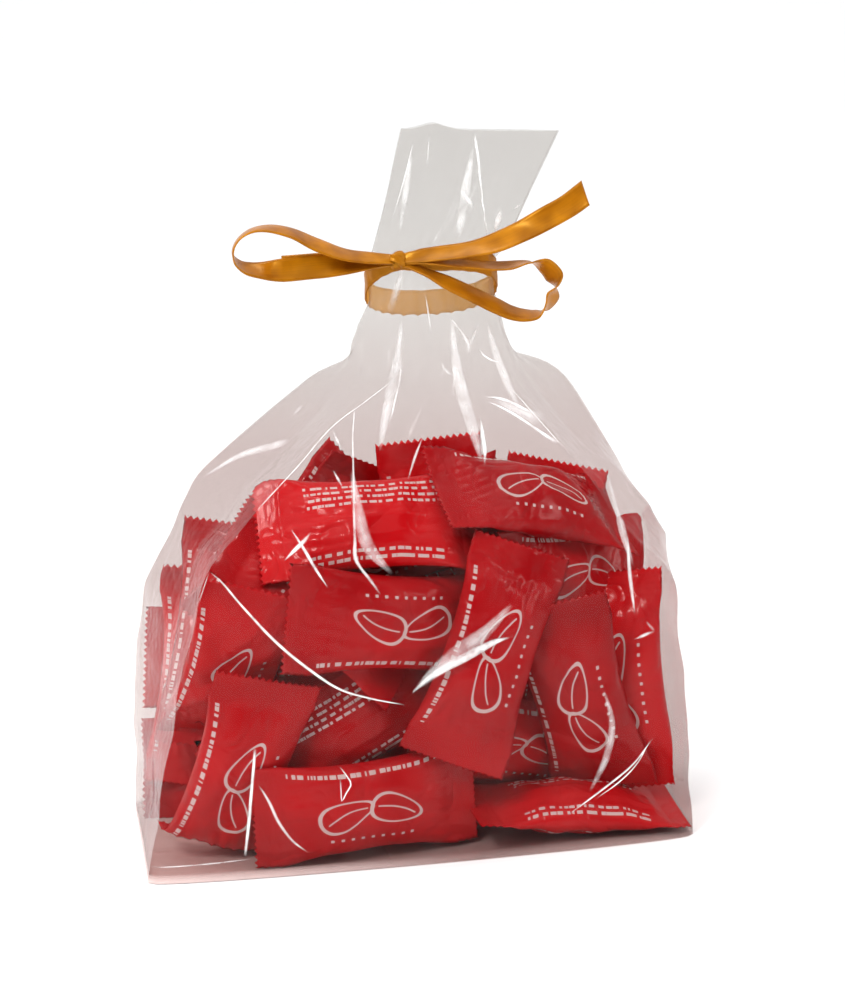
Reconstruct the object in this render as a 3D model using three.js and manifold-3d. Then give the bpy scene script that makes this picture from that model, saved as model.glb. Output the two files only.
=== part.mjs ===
// Clear gift bag of wrapped sweets, closed at the neck with a satin ribbon bow.
// Millimetres, +Z up, the bag's front towards -Y, the origin under the middle of its base.
// The bag is one solid out to the film's outer form. The ribbon is one solid tied round the neck.
import * as THREE from "three";
import Module from "manifold-3d";

// Driving sizes of the bag
const BASE_HALF_WIDTH = 71; // the square-cut base: 142 mm wide
const BASE_HALF_DEPTH = 27.5; // and 55 mm deep
const TOP_HEIGHT = 182.4; // middle of the cut mouth above the table
const NECK_CENTRE = 10.7; // the neck leans to the right of the base
const NECK_HALF_WIDTH = 16.2; // gathered neck inside the ribbon
const NECK_HALF_DEPTH = 6.2;
const BELLY_BOW = { front: 4.6, back: 4.82 }; // the broad sides swell past their corner folds
const NECK_HEIGHT = 144.8; // middle of the ribbon round the neck
const NECK_TILT = 0.93; // the ribbon is pulled up at the front: rise per mm towards the front
const MOUTH_CENTRE = 24.3; // the flared mouth leans further right
const MOUTH_HALF_WIDTH = 20.6;
const MOUTH_HALF_DEPTH = 3.2;

// Driving sizes of the ribbon
const RIBBON_WIDTH = 6; // a standard satin ribbon
const RIBBON_THICKNESS = 0.6;
const RIBBON_GAP = 0.42; // clear of the gathered film
const KNOT_CENTRE = [1.2, -7.4, 151.4];
const KNOT_SIZE = [3.6, 3.8, 5.0];

// The four upright folds of the bag, from the base corners over the shoulders to the neck: [height, x, y]
const FOLD_FRONT_LEFT = [
  [0, -BASE_HALF_WIDTH, -BASE_HALF_DEPTH], [25, -66.4, -29.4], [49, -61.2, -29.6], [63, -57.4, -29.2],
  [78, -53, -28], [84, -48.6, -26.6], [95, -37, -23.4], [108, -23.4, -19.4], [115, -15, -16.6],
  [124, -2, -12], [133, 0, -8],
];
const FOLD_FRONT_RIGHT = [
  [0, BASE_HALF_WIDTH, -BASE_HALF_DEPTH], [25, 69.6, -29.4], [53, 68, -29.6], [70, 66.6, -28.8],
  [76, 62, -28], [82, 54.8, -27], [93, 48.2, -23.6], [108, 36.6, -19.4], [120, 27.4, -14], [133, 23, -8],
];
const FOLD_BACK_LEFT = [
  [0, -BASE_HALF_WIDTH, BASE_HALF_DEPTH], [25, -70.2, 29.2], [42, -68.8, 29.6], [57, -66.8, 28],
  [65, -65, 26], [72, -61.2, 24], [84, -55.6, 20.4], [94, -51, 18.4], [102, -42, 16.4],
  [112.5, -29.6, 13.8], [119, -21.4, 12], [125, -14.4, 10], [128.5, -12, 8.8], [137, -9.4, 6.6],
];
const FOLD_BACK_RIGHT = [
  [0, BASE_HALF_WIDTH, BASE_HALF_DEPTH], [30, 70.4, 29.2], [50, 70, 28], [62, 70.2, 23], [70, 70.4, 18],
  [76, 69, 14.6], [83, 66.4, 13.4], [93.5, 61.8, 12.6], [103.5, 56, 12.4], [112, 51, 12],
  [118, 46.6, 11.4], [123.5, 38, 10], [127.5, 33, 8.8], [136, 29.4, 6.6],
];
const PANEL_STEPS = { front: 28, side: 6, back: 28 }; // points across each panel, two sides a gusset
// How far each side gusset is pushed in at its middle, below 0 where the sweets push it out
const TUCK_LEFT = [
  [0, 0], [12, 1.2], [60, 1.6], [80, 3], [100, 5], [113, 3], [122, -1], [131, -5], [140, 0],
];
const TUCK_RIGHT = [
  [0, 0], [12, 1.2], [58, 1.2], [70, -1.8], [76, -5], [84, -6], [94, -3], [104, 2], [114, 2], [128, -2],
  [140, 0],
];
// The gathered neck and the mouth: [height, middle x, half width, half depth]
const GATHER = [
  [120, 10.4, 22, 10.5], [128, 10.2, 20.6, 9.4], [135, 10.1, 18.8, 7.6],
  [140, NECK_CENTRE, NECK_HALF_WIDTH, NECK_HALF_DEPTH],
  [149.6, NECK_CENTRE, NECK_HALF_WIDTH, NECK_HALF_DEPTH], [155, 14, 17.9, 6],
  [TOP_HEIGHT, MOUTH_CENTRE, MOUTH_HALF_WIDTH, MOUTH_HALF_DEPTH],
];
const STATIONS = [
  0, 3, 8, 16, 25, 34, 43, 52, 60, 66, 71, 76, 80, 84, 89, 94, 99, 104, 109, 113, 117, 120, 123, 126, 129,
  132, 135, 137.5, 140, 143, 146, 149.5, 152, 155, 159, 163, 167, 171, 175, 179, TOP_HEIGHT,
];

const clamp01 = (v) => Math.min(1, Math.max(0, v));
const smooth = (a, b, v) => {
  const t = clamp01((v - a) / (b - a));
  return t * t * (3 - 2 * t);
};
const lerp = (a, b, t) => a + (b - a) * t;

// Value of a table [[height, value...], ...] at a height, straight between its rows
function along(rows, height, column = 1) {
  if (height <= rows[0][0]) return rows[0][column];
  for (let i = 1; i < rows.length; i++) {
    const [low, high] = [rows[i - 1], rows[i]];
    if (height <= high[0]) return lerp(low[column], high[column], (height - low[0]) / (high[0] - low[0]));
  }
  return rows[rows.length - 1][column];
}
const rounded = (rows, height, column) =>
  (along(rows, height - 2.5, column) + 2 * along(rows, height, column) +
    along(rows, height + 2.5, column)) / 4;

// Gathered section of the neck and the mouth: a flattened oval
function gathered(height, angle) {
  const [centre, halfWidth, halfDepth] = [1, 2, 3].map((column) => along(GATHER, height, column));
  const flat = (v) => Math.sign(v) * Math.pow(Math.abs(v), 0.85);
  return [centre + halfWidth * flat(Math.cos(angle)), halfDepth * flat(Math.sin(angle))];
}

// Depth of the pleats that the ribbon gathers, fading out over the shoulders
function pleat(height, index) {
  const gather = smooth(98, 134, height);
  const inRibbon = 1 - 0.55 * smooth(136, 140, height) * (1 - smooth(150, 154, height));
  const fold = 0.5 + 0.5 * Math.cos((2 * Math.PI * index) / 3.4);
  const uneven = 0.65 + 0.35 * Math.sin(index * 2.39 + 1.2);
  return 1.1 * gather * inRibbon * fold * uneven;
}

// How far the sweets press the front and back film out past the folds, with a soft bump for each
function swell(height, x, across, bow) {
  const filled = smooth(0, 18, height) * (1 - smooth(84, 112, height));
  const bumps = Math.sin(x / 9.5 + height / 17 + 0.6) * Math.sin(height / 11.5 - x / 31 + 1.1);
  const belly = bow * (1 - 0.45 * smooth(0, 70, height)) * (1 - smooth(60, 108, height));
  return filled * (0.6 + 0.9 * bumps) * Math.min(1, 8 * across * (1 - across)) +
    belly * (4 * across * (1 - across)) ** 0.4;
}

// One closed outline of the bag at a height, counter-clockwise from above, starting at the front left fold
function outline(height) {
  const corner = (rows) => [rounded(rows, height, 1), rounded(rows, height, 2)];
  const [fl, fr] = [corner(FOLD_FRONT_LEFT), corner(FOLD_FRONT_RIGHT)];
  const [br, bl] = [corner(FOLD_BACK_RIGHT), corner(FOLD_BACK_LEFT)];
  const sideRight = [(fr[0] + br[0]) / 2 - along(TUCK_RIGHT, height), (fr[1] + br[1]) / 2];
  const sideLeft = [(fl[0] + bl[0]) / 2 + along(TUCK_LEFT, height), (fl[1] + bl[1]) / 2];
  const panels = [
    [fl, fr, PANEL_STEPS.front, 230, 310, BELLY_BOW.front], [fr, sideRight, PANEL_STEPS.side, 310, 360],
    [sideRight, br, PANEL_STEPS.side, 0, 50], [br, bl, PANEL_STEPS.back, 50, 130, BELLY_BOW.back],
    [bl, sideLeft, PANEL_STEPS.side, 130, 180], [sideLeft, fl, PANEL_STEPS.side, 180, 230],
  ];
  const neck = smooth(119, 140, height);
  const tilt = NECK_TILT * smooth(120, 140.5, height) * (1 - smooth(151, 178, height));
  const points = [];
  for (const [from, to, steps, a0, a1, bellied] of panels) {
    const span = Math.hypot(to[0] - from[0], to[1] - from[1]) || 1;
    const normal = [(to[1] - from[1]) / span, (from[0] - to[0]) / span];
    for (let i = 0; i < steps; i++) {
      const t = i / steps;
      const bow = bellied ? swell(height, lerp(from[0], to[0], t), t, bellied) : 0;
      const flatX = lerp(from[0], to[0], t) + normal[0] * bow;
      const flatY = lerp(from[1], to[1], t) + normal[1] * bow;
      const angle = (lerp(a0, a1, t) * Math.PI) / 180;
      const [ovalX, ovalY] = gathered(height, angle);
      const inward = pleat(height, points.length);
      const x = lerp(flatX, ovalX, neck) - inward * Math.cos(angle) * 0.6;
      const y = lerp(flatY, ovalY, neck) - inward * Math.sin(angle);
      const mouth = smooth(165, TOP_HEIGHT, height);
      const cut = mouth * (1.5 * Math.exp(-(((x - 12.4) / 4) ** 2)) - 0.055 * (x - MOUTH_CENTRE));
      points.push([x, y, height - tilt * y + cut]);
    }
  }
  return points;
}

// Closed indexed mesh through rings of equal length, with a fan over each end
function loft(rings) {
  const positions = [];
  const index = [];
  const count = rings[0].length;
  rings.forEach((ring) => ring.forEach((p) => positions.push(...p)));
  for (let r = 0; r + 1 < rings.length; r++) {
    for (let i = 0; i < count; i++) {
      const [a, b] = [r * count + i, r * count + ((i + 1) % count)];
      index.push(a, b, b + count, a, b + count, a + count);
    }
  }
  for (const [ring, flip] of [[0, true], [rings.length - 1, false]]) {
    const middle = [0, 1, 2].map((k) => rings[ring].reduce((sum, p) => sum + p[k], 0) / count);
    const centre = positions.length / 3;
    positions.push(...middle);
    for (let i = 0; i < count; i++) {
      const [a, b] = [ring * count + i, ring * count + ((i + 1) % count)];
      index.push(...(flip ? [centre, b, a] : [centre, a, b]));
    }
  }
  const geometry = new THREE.BufferGeometry();
  geometry.setAttribute("position", new THREE.Float32BufferAttribute(positions, 3));
  geometry.setIndex(index);
  return geometry;
}

// Ribbon strands: [x, y, z of the middle, then the vector from its back edge to its front edge], the pinched
// ends in the knot narrower than the ribbon is wide
const LEFT_LOOP = [
  [1.2, -7.9, 151.6, -0.3, -1.0, -2.2], [-4.9, -9.3, 152.5, -0.5, -4.0, -2.1],
  [-12.5, -10.5, 153.9, -1.7, -5.4, -2.0], [-19.7, -11.0, 156.9, -1.9, -5.3, -2.0],
  [-25.8, -11.5, 160.1, -1.5, -5.6, -1.4], [-31.8, -12.0, 161.6, -1.0, -5.8, -0.9],
  [-36.0, -12.0, 161.1, -0.3, -6.0, -0.2], [-39.0, -12.0, 159.1, 0.0, -5.9, 0.8],
  [-40.4, -12.0, 156.2, -0.2, -5.9, 1.3], [-39.5, -12.0, 153.7, -1.7, -5.8, 0.1],
  [-37.1, -11.5, 152.0, -1.7, -5.4, -2.0], [-33.4, -11.0, 151.2, -1.2, -4.8, -3.4],
  [-27.6, -10.5, 150.9, -0.5, -2.0, -5.6], [-19.6, -10.0, 151.2, -0.5, -1.9, -5.7],
  [-12.0, -9.3, 151.2, -0.6, -3.1, -4.4], [-5.6, -8.6, 151.4, -0.6, -3.0, -2.9],
  [1.2, -7.5, 151.3, -0.3, -1.0, -2.0],
];
const LEFT_TAIL = [
  [1.2, -7.3, 151.3, -0.3, -0.8, -2.0], [-5.5, -7.9, 151.4, -0.6, -2.2, -3.6],
  [-11.8, -8.2, 151.4, -0.7, -3.5, -4.3], [-19.4, -8.8, 151.5, -0.5, -1.9, -5.7],
  [-28.4, -9.4, 151.4, -0.5, -2.0, -5.6],
];
const RIGHT_TAIL = [
  [1.4, -7.8, 151.7, -0.3, -0.9, -2.0], [9.0, -10.2, 152.8, -0.7, -3.4, -3.1],
  [17.6, -12.0, 153.7, -0.6, -4.4, -3.1], [23.8, -13.0, 154.9, 0.4, -4.6, -3.9],
  [31.4, -13.5, 157.7, 1.5, -3.8, -4.4], [39.1, -13.5, 161.3, 2.7, -1.9, -5.0],
  [43.8, -13.3, 163.6, 3.4, -1.6, -4.7], [48.4, -13.0, 166.6, 1.5, -2.3, -6.0],
];
const RIGHT_LOOP = [
  [1.4, -7.6, 151.5, -0.3, -1.0, -1.8], [9.0, -9.8, 151.1, -0.7, -4.2, -1.1],
  [15.1, -11.0, 150.6, -0.9, -5.3, -1.6], [23.2, -11.4, 149.4, -1.0, -5.8, -1.2],
  [29.1, -11.4, 149.2, -1.0, -5.8, -1.2], [34.3, -11.2, 149.7, -1.0, -5.9, 0.4],
  [38.1, -11.0, 148.5, 1.4, -4.5, 3.7], [40.4, -11.0, 145.8, 3.2, -4.5, 2.3],
  [41.1, -11.0, 143.3, -0.4, -5.8, 1.3], [40.0, -11.0, 140.8, -3.7, -4.3, 2.0],
  [38.4, -11.2, 138.1, -1.8, -5.3, 2.1], [35.7, -11.8, 136.5, -0.5, -5.9, -1.0],
  [32.2, -12.4, 136.5, -1.2, -5.5, -2.1], [28.6, -12.8, 137.5, -1.7, -5.1, -2.6],
  [25.3, -13.0, 139.2, -2.2, -4.9, -2.6], [18.6, -12.8, 142.8, -2.7, -4.8, -2.3],
  [12.5, -11.8, 146.0, -2.3, -4.2, -2.0], [7.7, -10.2, 148.5, -1.4, -3.6, -1.2],
  [1.4, -7.5, 151.2, -0.3, -1.0, -1.6],
];

// Thin closed strip that follows a smooth line through the stations and turns with them
function strand(stations, stepsBetween) {
  const curve = (from) =>
    new THREE.CatmullRomCurve3(stations.map((s) => new THREE.Vector3(...s.slice(from, from + 3))), false);
  const [line, turn] = [curve(0), curve(3)];
  const rings = [];
  const steps = (stations.length - 1) * stepsBetween;
  for (let i = 0; i <= steps; i++) {
    const t = i / steps;
    const middle = line.getPoint(t);
    const across = turn.getPoint(t).multiplyScalar(0.5);
    const normal = line.getTangent(t).cross(across).normalize().multiplyScalar(RIBBON_THICKNESS / 2);
    const corner = (a, n) => middle.clone().addScaledVector(across, a).addScaledVector(normal, n).toArray();
    rings.push([corner(-1, -1), corner(1, -1), corner(1, 1), corner(-1, 1)]);
  }
  return loft(rings);
}

// The turn of ribbon round the neck, tilted with the gathered film and narrower where the knot pulls it
function band() {
  const rings = [];
  const steps = 40;
  for (const [radial, side] of [[0, -1], [1, -1], [1, 1], [0, 1]]) {
    const ring = [];
    for (let i = 0; i < steps; i++) {
      const angle = (2 * Math.PI * i) / steps;
      const out = RIBBON_GAP + radial * RIBBON_THICKNESS;
      const flat = (v) => Math.sign(v) * Math.pow(Math.abs(v), 0.85);
      const x = NECK_CENTRE + (NECK_HALF_WIDTH + out) * flat(Math.cos(angle));
      const y = (NECK_HALF_DEPTH + out) * flat(Math.sin(angle));
      const pinch = Math.exp(-(((x - KNOT_CENTRE[0]) / 5) ** 2)) * (y < 0 ? 0.4 : 0);
      ring.push([x, y, NECK_HEIGHT - NECK_TILT * y + (side * RIBBON_WIDTH * (1 - pinch)) / 2]);
    }
    rings.push(ring);
  }
  const positions = rings.flat(2);
  const index = [];
  for (let r = 0; r < 4; r++) {
    const next = (r + 1) % 4;
    for (let i = 0; i < steps; i++) {
      const j = (i + 1) % steps;
      const [a, b, c, d] = [r * steps + i, r * steps + j, next * steps + j, next * steps + i];
      index.push(a, b, c, a, c, d);
    }
  }
  const geometry = new THREE.BufferGeometry();
  geometry.setAttribute("position", new THREE.Float32BufferAttribute(positions, 3));
  geometry.setIndex(index);
  return geometry;
}

// Small tight knot, a rounded barrel
function knot() {
  const rings = [];
  const turns = 14;
  for (let r = 0; r <= 8; r++) {
    const up = Math.cos((Math.PI * (r + 0.35)) / 8.7);
    const wide = Math.sqrt(Math.max(0, 1 - up * up)) ** 0.7;
    const ring = [];
    for (let i = 0; i < turns; i++) {
      const angle = (2 * Math.PI * i) / turns;
      ring.push([
        KNOT_CENTRE[0] + (KNOT_SIZE[0] / 2) * wide * Math.cos(angle),
        KNOT_CENTRE[1] + (KNOT_SIZE[1] / 2) * wide * Math.sin(angle),
        KNOT_CENTRE[2] - (KNOT_SIZE[2] / 2) * up,
      ]);
    }
    rings.push(ring);
  }
  return loft(rings);
}

const wasm = await Module();
wasm.setup();

function solidOf(geometry) {
  const mesh = new wasm.Mesh({
    numProp: 3,
    vertProperties: new Float32Array(geometry.attributes.position.array),
    triVerts: new Uint32Array(geometry.index.array),
  });
  return new wasm.Manifold(mesh);
}

function meshOf(name, solid, colour, roughness) {
  const { vertProperties, triVerts } = solid.getMesh();
  const geometry = new THREE.BufferGeometry();
  geometry.setAttribute("position", new THREE.Float32BufferAttribute(vertProperties, 3));
  geometry.setIndex(new THREE.Uint32BufferAttribute(triVerts, 1));
  geometry.computeVertexNormals();
  const mesh = new THREE.Mesh(geometry, new THREE.MeshStandardMaterial({ color: colour, roughness }));
  mesh.name = name;
  return mesh;
}

const bag = solidOf(loft(STATIONS.map(outline)));
const strands = [strand(LEFT_LOOP, 3), strand(LEFT_TAIL, 2), strand(RIGHT_TAIL, 2), strand(RIGHT_LOOP, 3)];
const ribbon = [...strands, knot()]
  .map(solidOf)
  .reduce((whole, piece) => whole.add(piece), solidOf(band()));

const group = new THREE.Group();
group.add(meshOf("bag", bag, 0xc23a3c, 0.25));
group.add(meshOf("ribbon", ribbon, 0xc87a10, 0.4));
export default group;
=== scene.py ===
# %% [markdown]
# A clear gift bag of wrapped sweets.
# The real thing is a square-bottomed bag of clear polypropylene film. It stands on its own base, sachets of
# red printed wrap fill more than its lower half, and a satin ribbon ties its neck in a lopsided bow. The
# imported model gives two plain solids: the bag out to its film, and the ribbon. This lesson dresses them in
# film, sachets and satin that keep the same sizes. Everything is in metres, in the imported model's own frame.

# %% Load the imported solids
import math

import bmesh
import bpy
import numpy as np
from mathutils import Euler, Matrix, Vector
from mathutils.bvhtree import BVHTree


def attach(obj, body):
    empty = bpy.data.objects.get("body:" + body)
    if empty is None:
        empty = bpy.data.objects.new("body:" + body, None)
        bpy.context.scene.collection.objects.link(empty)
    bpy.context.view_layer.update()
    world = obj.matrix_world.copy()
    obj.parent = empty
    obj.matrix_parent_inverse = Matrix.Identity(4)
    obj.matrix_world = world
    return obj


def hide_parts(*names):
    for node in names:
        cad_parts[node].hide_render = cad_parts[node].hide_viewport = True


MM = 0.001
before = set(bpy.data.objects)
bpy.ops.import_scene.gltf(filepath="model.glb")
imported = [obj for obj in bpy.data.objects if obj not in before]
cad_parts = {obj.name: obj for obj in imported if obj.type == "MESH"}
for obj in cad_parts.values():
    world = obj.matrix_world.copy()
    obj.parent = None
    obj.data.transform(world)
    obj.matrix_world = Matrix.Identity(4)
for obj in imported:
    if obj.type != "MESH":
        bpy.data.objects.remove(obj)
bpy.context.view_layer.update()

# %% [markdown]
# The camera comes first, because every later choice is judged through it. It stands slightly to the left of
# the bag and looks down by 13 degrees, with a small roll. The target and the distance are real lengths.

# %% Place the camera
CAMERA_AZIMUTH = math.radians(-9.0)
CAMERA_ELEVATION = math.radians(13.0)
CAMERA_ROLL = math.radians(1.83)
CAMERA_DISTANCE = 650 * MM
CAMERA_LENS = 90.2  # mm, on a 36 mm sensor along the picture's long side
CAMERA_TARGET = Vector((6.7, 0.0, 87.8)) * MM

back = Vector((
    math.sin(CAMERA_AZIMUTH) * math.cos(CAMERA_ELEVATION),
    -math.cos(CAMERA_AZIMUTH) * math.cos(CAMERA_ELEVATION),
    math.sin(CAMERA_ELEVATION),
))
right = Vector((0, 0, 1)).cross(back).normalized()
up = back.cross(right)
rolled_right = right * math.cos(CAMERA_ROLL) - up * math.sin(CAMERA_ROLL)
rolled_up = up * math.cos(CAMERA_ROLL) + right * math.sin(CAMERA_ROLL)
camera = bpy.data.objects.new("camera", bpy.data.cameras.new("camera"))
camera.data.lens = CAMERA_LENS
camera.data.sensor_width = 36
camera.data.clip_start = 10 * MM
placed = Matrix((rolled_right, rolled_up, back)).transposed().to_4x4()
placed.translation = CAMERA_TARGET + back * CAMERA_DISTANCE
camera.matrix_world = placed
bpy.context.collection.objects.link(camera)
bpy.context.scene.camera = camera
print("camera at", [round(v, 3) for v in placed.translation])

# %% [markdown]
# Small helpers serve every piece. One turns a printed sRGB colour into the linear values that Blender works
# in. One adds a shader node with its settings and links. One puts a finished bmesh into the scene as a piece
# that rides on the frame's single body.

# %% Colour, node and piece helpers
def linear(colour):
    """An sRGB hex colour such as "#C8232B" as linear RGBA."""
    parts = [int(colour[i:i + 2], 16) / 255 for i in (1, 3, 5)]
    return [v / 12.92 if v <= 0.04045 else ((v + 0.055) / 1.055) ** 2.4 for v in parts] + [1.0]


def add(tree, kind, inputs=(), **settings):
    """One shader node. Settings are its own properties. Inputs come in order or by name, each as a value,
    as a socket to link, or as a node whose first output is linked."""
    made = tree.nodes.new("ShaderNode" + kind)
    for name, value in settings.items():
        setattr(made, name, value)
    for socket, value in inputs.items() if isinstance(inputs, dict) else enumerate(inputs):
        if isinstance(value, bpy.types.Node):
            value = value.outputs[0]
        if isinstance(value, bpy.types.NodeSocket):
            tree.links.new(value, made.inputs[socket])
        else:
            made.inputs[socket].default_value = value
    return made


def new_material(name):
    """An empty material and its node tree."""
    made = bpy.data.materials.new(name)
    made.use_nodes = True
    made.node_tree.nodes.clear()
    return made, made.node_tree


def triangles(mesh):
    return sum(len(p.vertices) - 2 for p in mesh.polygons)


def piece(bm, name, materials, stands_for=None):
    """Turns a bmesh into a piece of the object, with its place in its mesh."""
    mesh = bpy.data.meshes.new(name)
    bm.to_mesh(mesh)
    bm.free()
    made = bpy.data.objects.new(name, mesh)
    bpy.context.collection.objects.link(made)
    for material in materials:
        mesh.materials.append(material)
    if stands_for:
        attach(made, "root")
        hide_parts(stands_for)
    print(name, "triangles", triangles(mesh))
    return made


def smoothstep(low, high, value):
    t = np.clip((value - low) / (high - low), 0, 1)
    return t * t * (3 - 2 * t)

# %% [markdown]
# Film, ribbon and creases are all lofts: a closed section that travels along a line and changes as it goes.
# A curve with a bevel would give one section only. Here bmesh starts from a circle, extrudes its edge loop
# once for each station and moves the new vertices to the wanted section, so any form can follow.

# %% Loft a closed section through stations
def loft(bm, sections, caps="none"):
    """Extrudes a ring through sections, arrays of equal length. Returns the vertices, [station][around]."""
    ring = bmesh.ops.create_circle(bm, segments=len(sections[0]), radius=1)["verts"]
    ring.sort(key=lambda v: math.atan2(v.co.y, v.co.x) % (2 * math.pi))
    corners = set(ring)
    edges = first_edges = [e for e in bm.edges if e.verts[0] in corners and e.verts[1] in corners]
    grid = [ring]
    for vertex, place in zip(ring, sections[0]):
        vertex.co = place
    for section in sections[1:]:
        made = bmesh.ops.extrude_edge_only(bm, edges=edges)["geom"]
        fresh = {g for g in made if isinstance(g, bmesh.types.BMVert)}
        edges = [g for g in made if isinstance(g, bmesh.types.BMEdge) and fresh.issuperset(g.verts)]
        follows = {edge.other_vert(vertex): vertex for vertex in fresh for edge in vertex.link_edges}
        grid.append([follows[parent] for parent in grid[-1]])
        for vertex, place in zip(grid[-1], section):
            vertex.co = place
    if caps in ("first", "both"):
        bmesh.ops.edgeloop_fill(bm, edges=first_edges)
    if caps in ("last", "both"):
        bmesh.ops.edgeloop_fill(bm, edges=edges)
    return grid


def fixed_order(bm):
    """Sorts edges and faces, because extruding leaves them in an order that differs from run to run."""
    bm.verts.index_update()
    for elements in (bm.edges, bm.faces):
        for i, element in enumerate(sorted(elements, key=lambda e: sorted(v.index for v in e.verts))):
            element.index = i
        elements.sort()


def unwrap_loft(bm, grid, along, around):
    """Gives a loft a UV map of real lengths in metres: along its line and around its section."""
    layer = bm.loops.layers.uv.get("Lengths") or bm.loops.layers.uv.new("Lengths")
    place = {v: (r, k) for r, ring in enumerate(grid) for k, v in enumerate(ring)}
    count = len(grid[0])
    for face in bm.faces:
        if not all(loop.vert in place for loop in face.loops) or len(face.loops) > 4:
            continue
        columns = [place[loop.vert][1] for loop in face.loops]
        wraps = max(columns) - min(columns) > count / 2
        for loop, column in zip(face.loops, columns):
            row = place[loop.vert][0]
            loop[layer].uv = (along[row], around[column + count if wraps and column == 0 else column])

# %% [markdown]
# The bag's form comes from measured sizes. Four upright folds climb from the corners of the base, lean in
# over the shoulders and vanish into the neck. Between them lie the broad front and back, which the sachets
# push out, and the two side gussets. Above the ribbon the film opens again into a flat fan. The tables give
# each fold as height, x and y in millimetres.

# %% Sizes of the bag
TOP_HEIGHT = 182.4
NECK_CENTRE, NECK_HALF_WIDTH, NECK_HALF_DEPTH = 10.7, 16.2, 6.2
NECK_HEIGHT, NECK_TILT = 144.8, 0.93
MOUTH_CENTRE, MOUTH_HALF_WIDTH, MOUTH_HALF_DEPTH = 24.3, 20.6, 3.2
FRONT_BOW, BACK_BOW = 4.6, 4.82
FOLD_FRONT_LEFT = (
    (0, -71, -27.5), (25, -66.4, -29.4), (49, -61.2, -29.6), (63, -57.4, -29.2), (78, -53, -28),
    (84, -48.6, -26.6), (95, -37, -23.4), (108, -23.4, -19.4), (115, -15, -16.6), (124, -2, -12),
    (133, 0, -8))
FOLD_FRONT_RIGHT = (
    (0, 71, -27.5), (25, 69.6, -29.4), (53, 68, -29.6), (70, 66.6, -28.8), (76, 62, -28), (82, 54.8, -27),
    (93, 48.2, -23.6), (108, 36.6, -19.4), (120, 27.4, -14), (133, 23, -8))
FOLD_BACK_LEFT = (
    (0, -71, 27.5), (25, -70.2, 29.2), (42, -68.8, 29.6), (57, -66.8, 28), (65, -65, 26), (72, -61.2, 24),
    (84, -55.6, 20.4), (94, -51, 18.4), (102, -42, 16.4), (112.5, -29.6, 13.8), (119, -21.4, 12),
    (125, -14.4, 10), (128.5, -12, 8.8), (137, -9.4, 6.6))
FOLD_BACK_RIGHT = (
    (0, 71, 27.5), (30, 70.4, 29.2), (50, 70, 28), (62, 70.2, 23), (70, 70.4, 18), (76, 69, 14.6),
    (83, 66.4, 13.4), (93.5, 61.8, 12.6), (103.5, 56, 12.4), (112, 51, 12), (118, 46.6, 11.4),
    (123.5, 38, 10), (127.5, 33, 8.8), (136, 29.4, 6.6))
TUCK_LEFT = ((0, 0), (12, 1.2), (60, 1.6), (80, 3), (100, 5), (113, 3), (122, -1), (131, -5), (140, 0))
TUCK_RIGHT = (
    (0, 0), (12, 1.2), (58, 1.2), (70, -1.8), (76, -5), (84, -6), (94, -3), (104, 2), (114, 2), (128, -2),
    (140, 0))
GATHER = (
    (120, 10.4, 22, 10.5), (128, 10.2, 20.6, 9.4), (135, 10.1, 18.8, 7.6),
    (140, NECK_CENTRE, NECK_HALF_WIDTH, NECK_HALF_DEPTH),
    (149.6, NECK_CENTRE, NECK_HALF_WIDTH, NECK_HALF_DEPTH), (155, 14, 17.9, 6),
    (TOP_HEIGHT, MOUTH_CENTRE, MOUTH_HALF_WIDTH, MOUTH_HALF_DEPTH))
PLEAT_SPACING = 3.4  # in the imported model's points round the bag
FRONT_POINTS, SIDE_POINTS = 76, 12  # the film's points along the front or back, and along half a side
PACKED_FRONT_POINTS, PACKED_SIDE_POINTS = 28, 6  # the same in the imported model
FILM_AROUND = 2 * FRONT_POINTS + 4 * SIDE_POINTS
NARROWING, NARROWED = 120, 140.5  # heights between which the neck's tilt sets in
OPENING, OPENED = 151, 178  # heights between which the fan takes the tilt out again

# %% [markdown]
# A table is read as straight lines between its rows, and the folds are rounded over 5 mm of height. Under
# the belly each sachet pushes the film out a little. From the shoulders up, pleats deepen towards the
# ribbon, which flattens them, and run out again in the fan.

# %% One outline of the bag at a height
def along(rows, height, column=1):
    return float(np.interp(height, [row[0] for row in rows], [row[column] for row in rows]))


def rounded(rows, height, column):
    return (along(rows, height - 2.5, column) + 2 * along(rows, height, column)
            + along(rows, height + 2.5, column)) / 4


def flattened(value):
    """Squares up an oval a little."""
    return np.sign(value) * np.abs(value) ** 0.85


def pleat(height, index):
    gather = smoothstep(98, 134, height)
    in_ribbon = 1 - 0.55 * smoothstep(136, 140, height) * (1 - smoothstep(150, 154, height))
    fold = 0.5 + 0.5 * np.cos(2 * np.pi * index / PLEAT_SPACING)
    return 1.1 * gather * in_ribbon * fold * (0.65 + 0.35 * np.sin(index * 2.39 + 1.2))


def swell(height, x, across, bow):
    filled = smoothstep(0, 18, height) * (1 - smoothstep(84, 112, height))
    bumps = np.sin(x / 9.5 + height / 17 + 0.6) * np.sin(height / 11.5 - x / 31 + 1.1)
    belly = bow * (1 - 0.45 * smoothstep(0, 70, height)) * (1 - smoothstep(60, 108, height))
    return (filled * (0.6 + 0.9 * bumps) * np.minimum(1, 8 * across * (1 - across))
            + belly * (4 * across * (1 - across)) ** 0.4)


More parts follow.
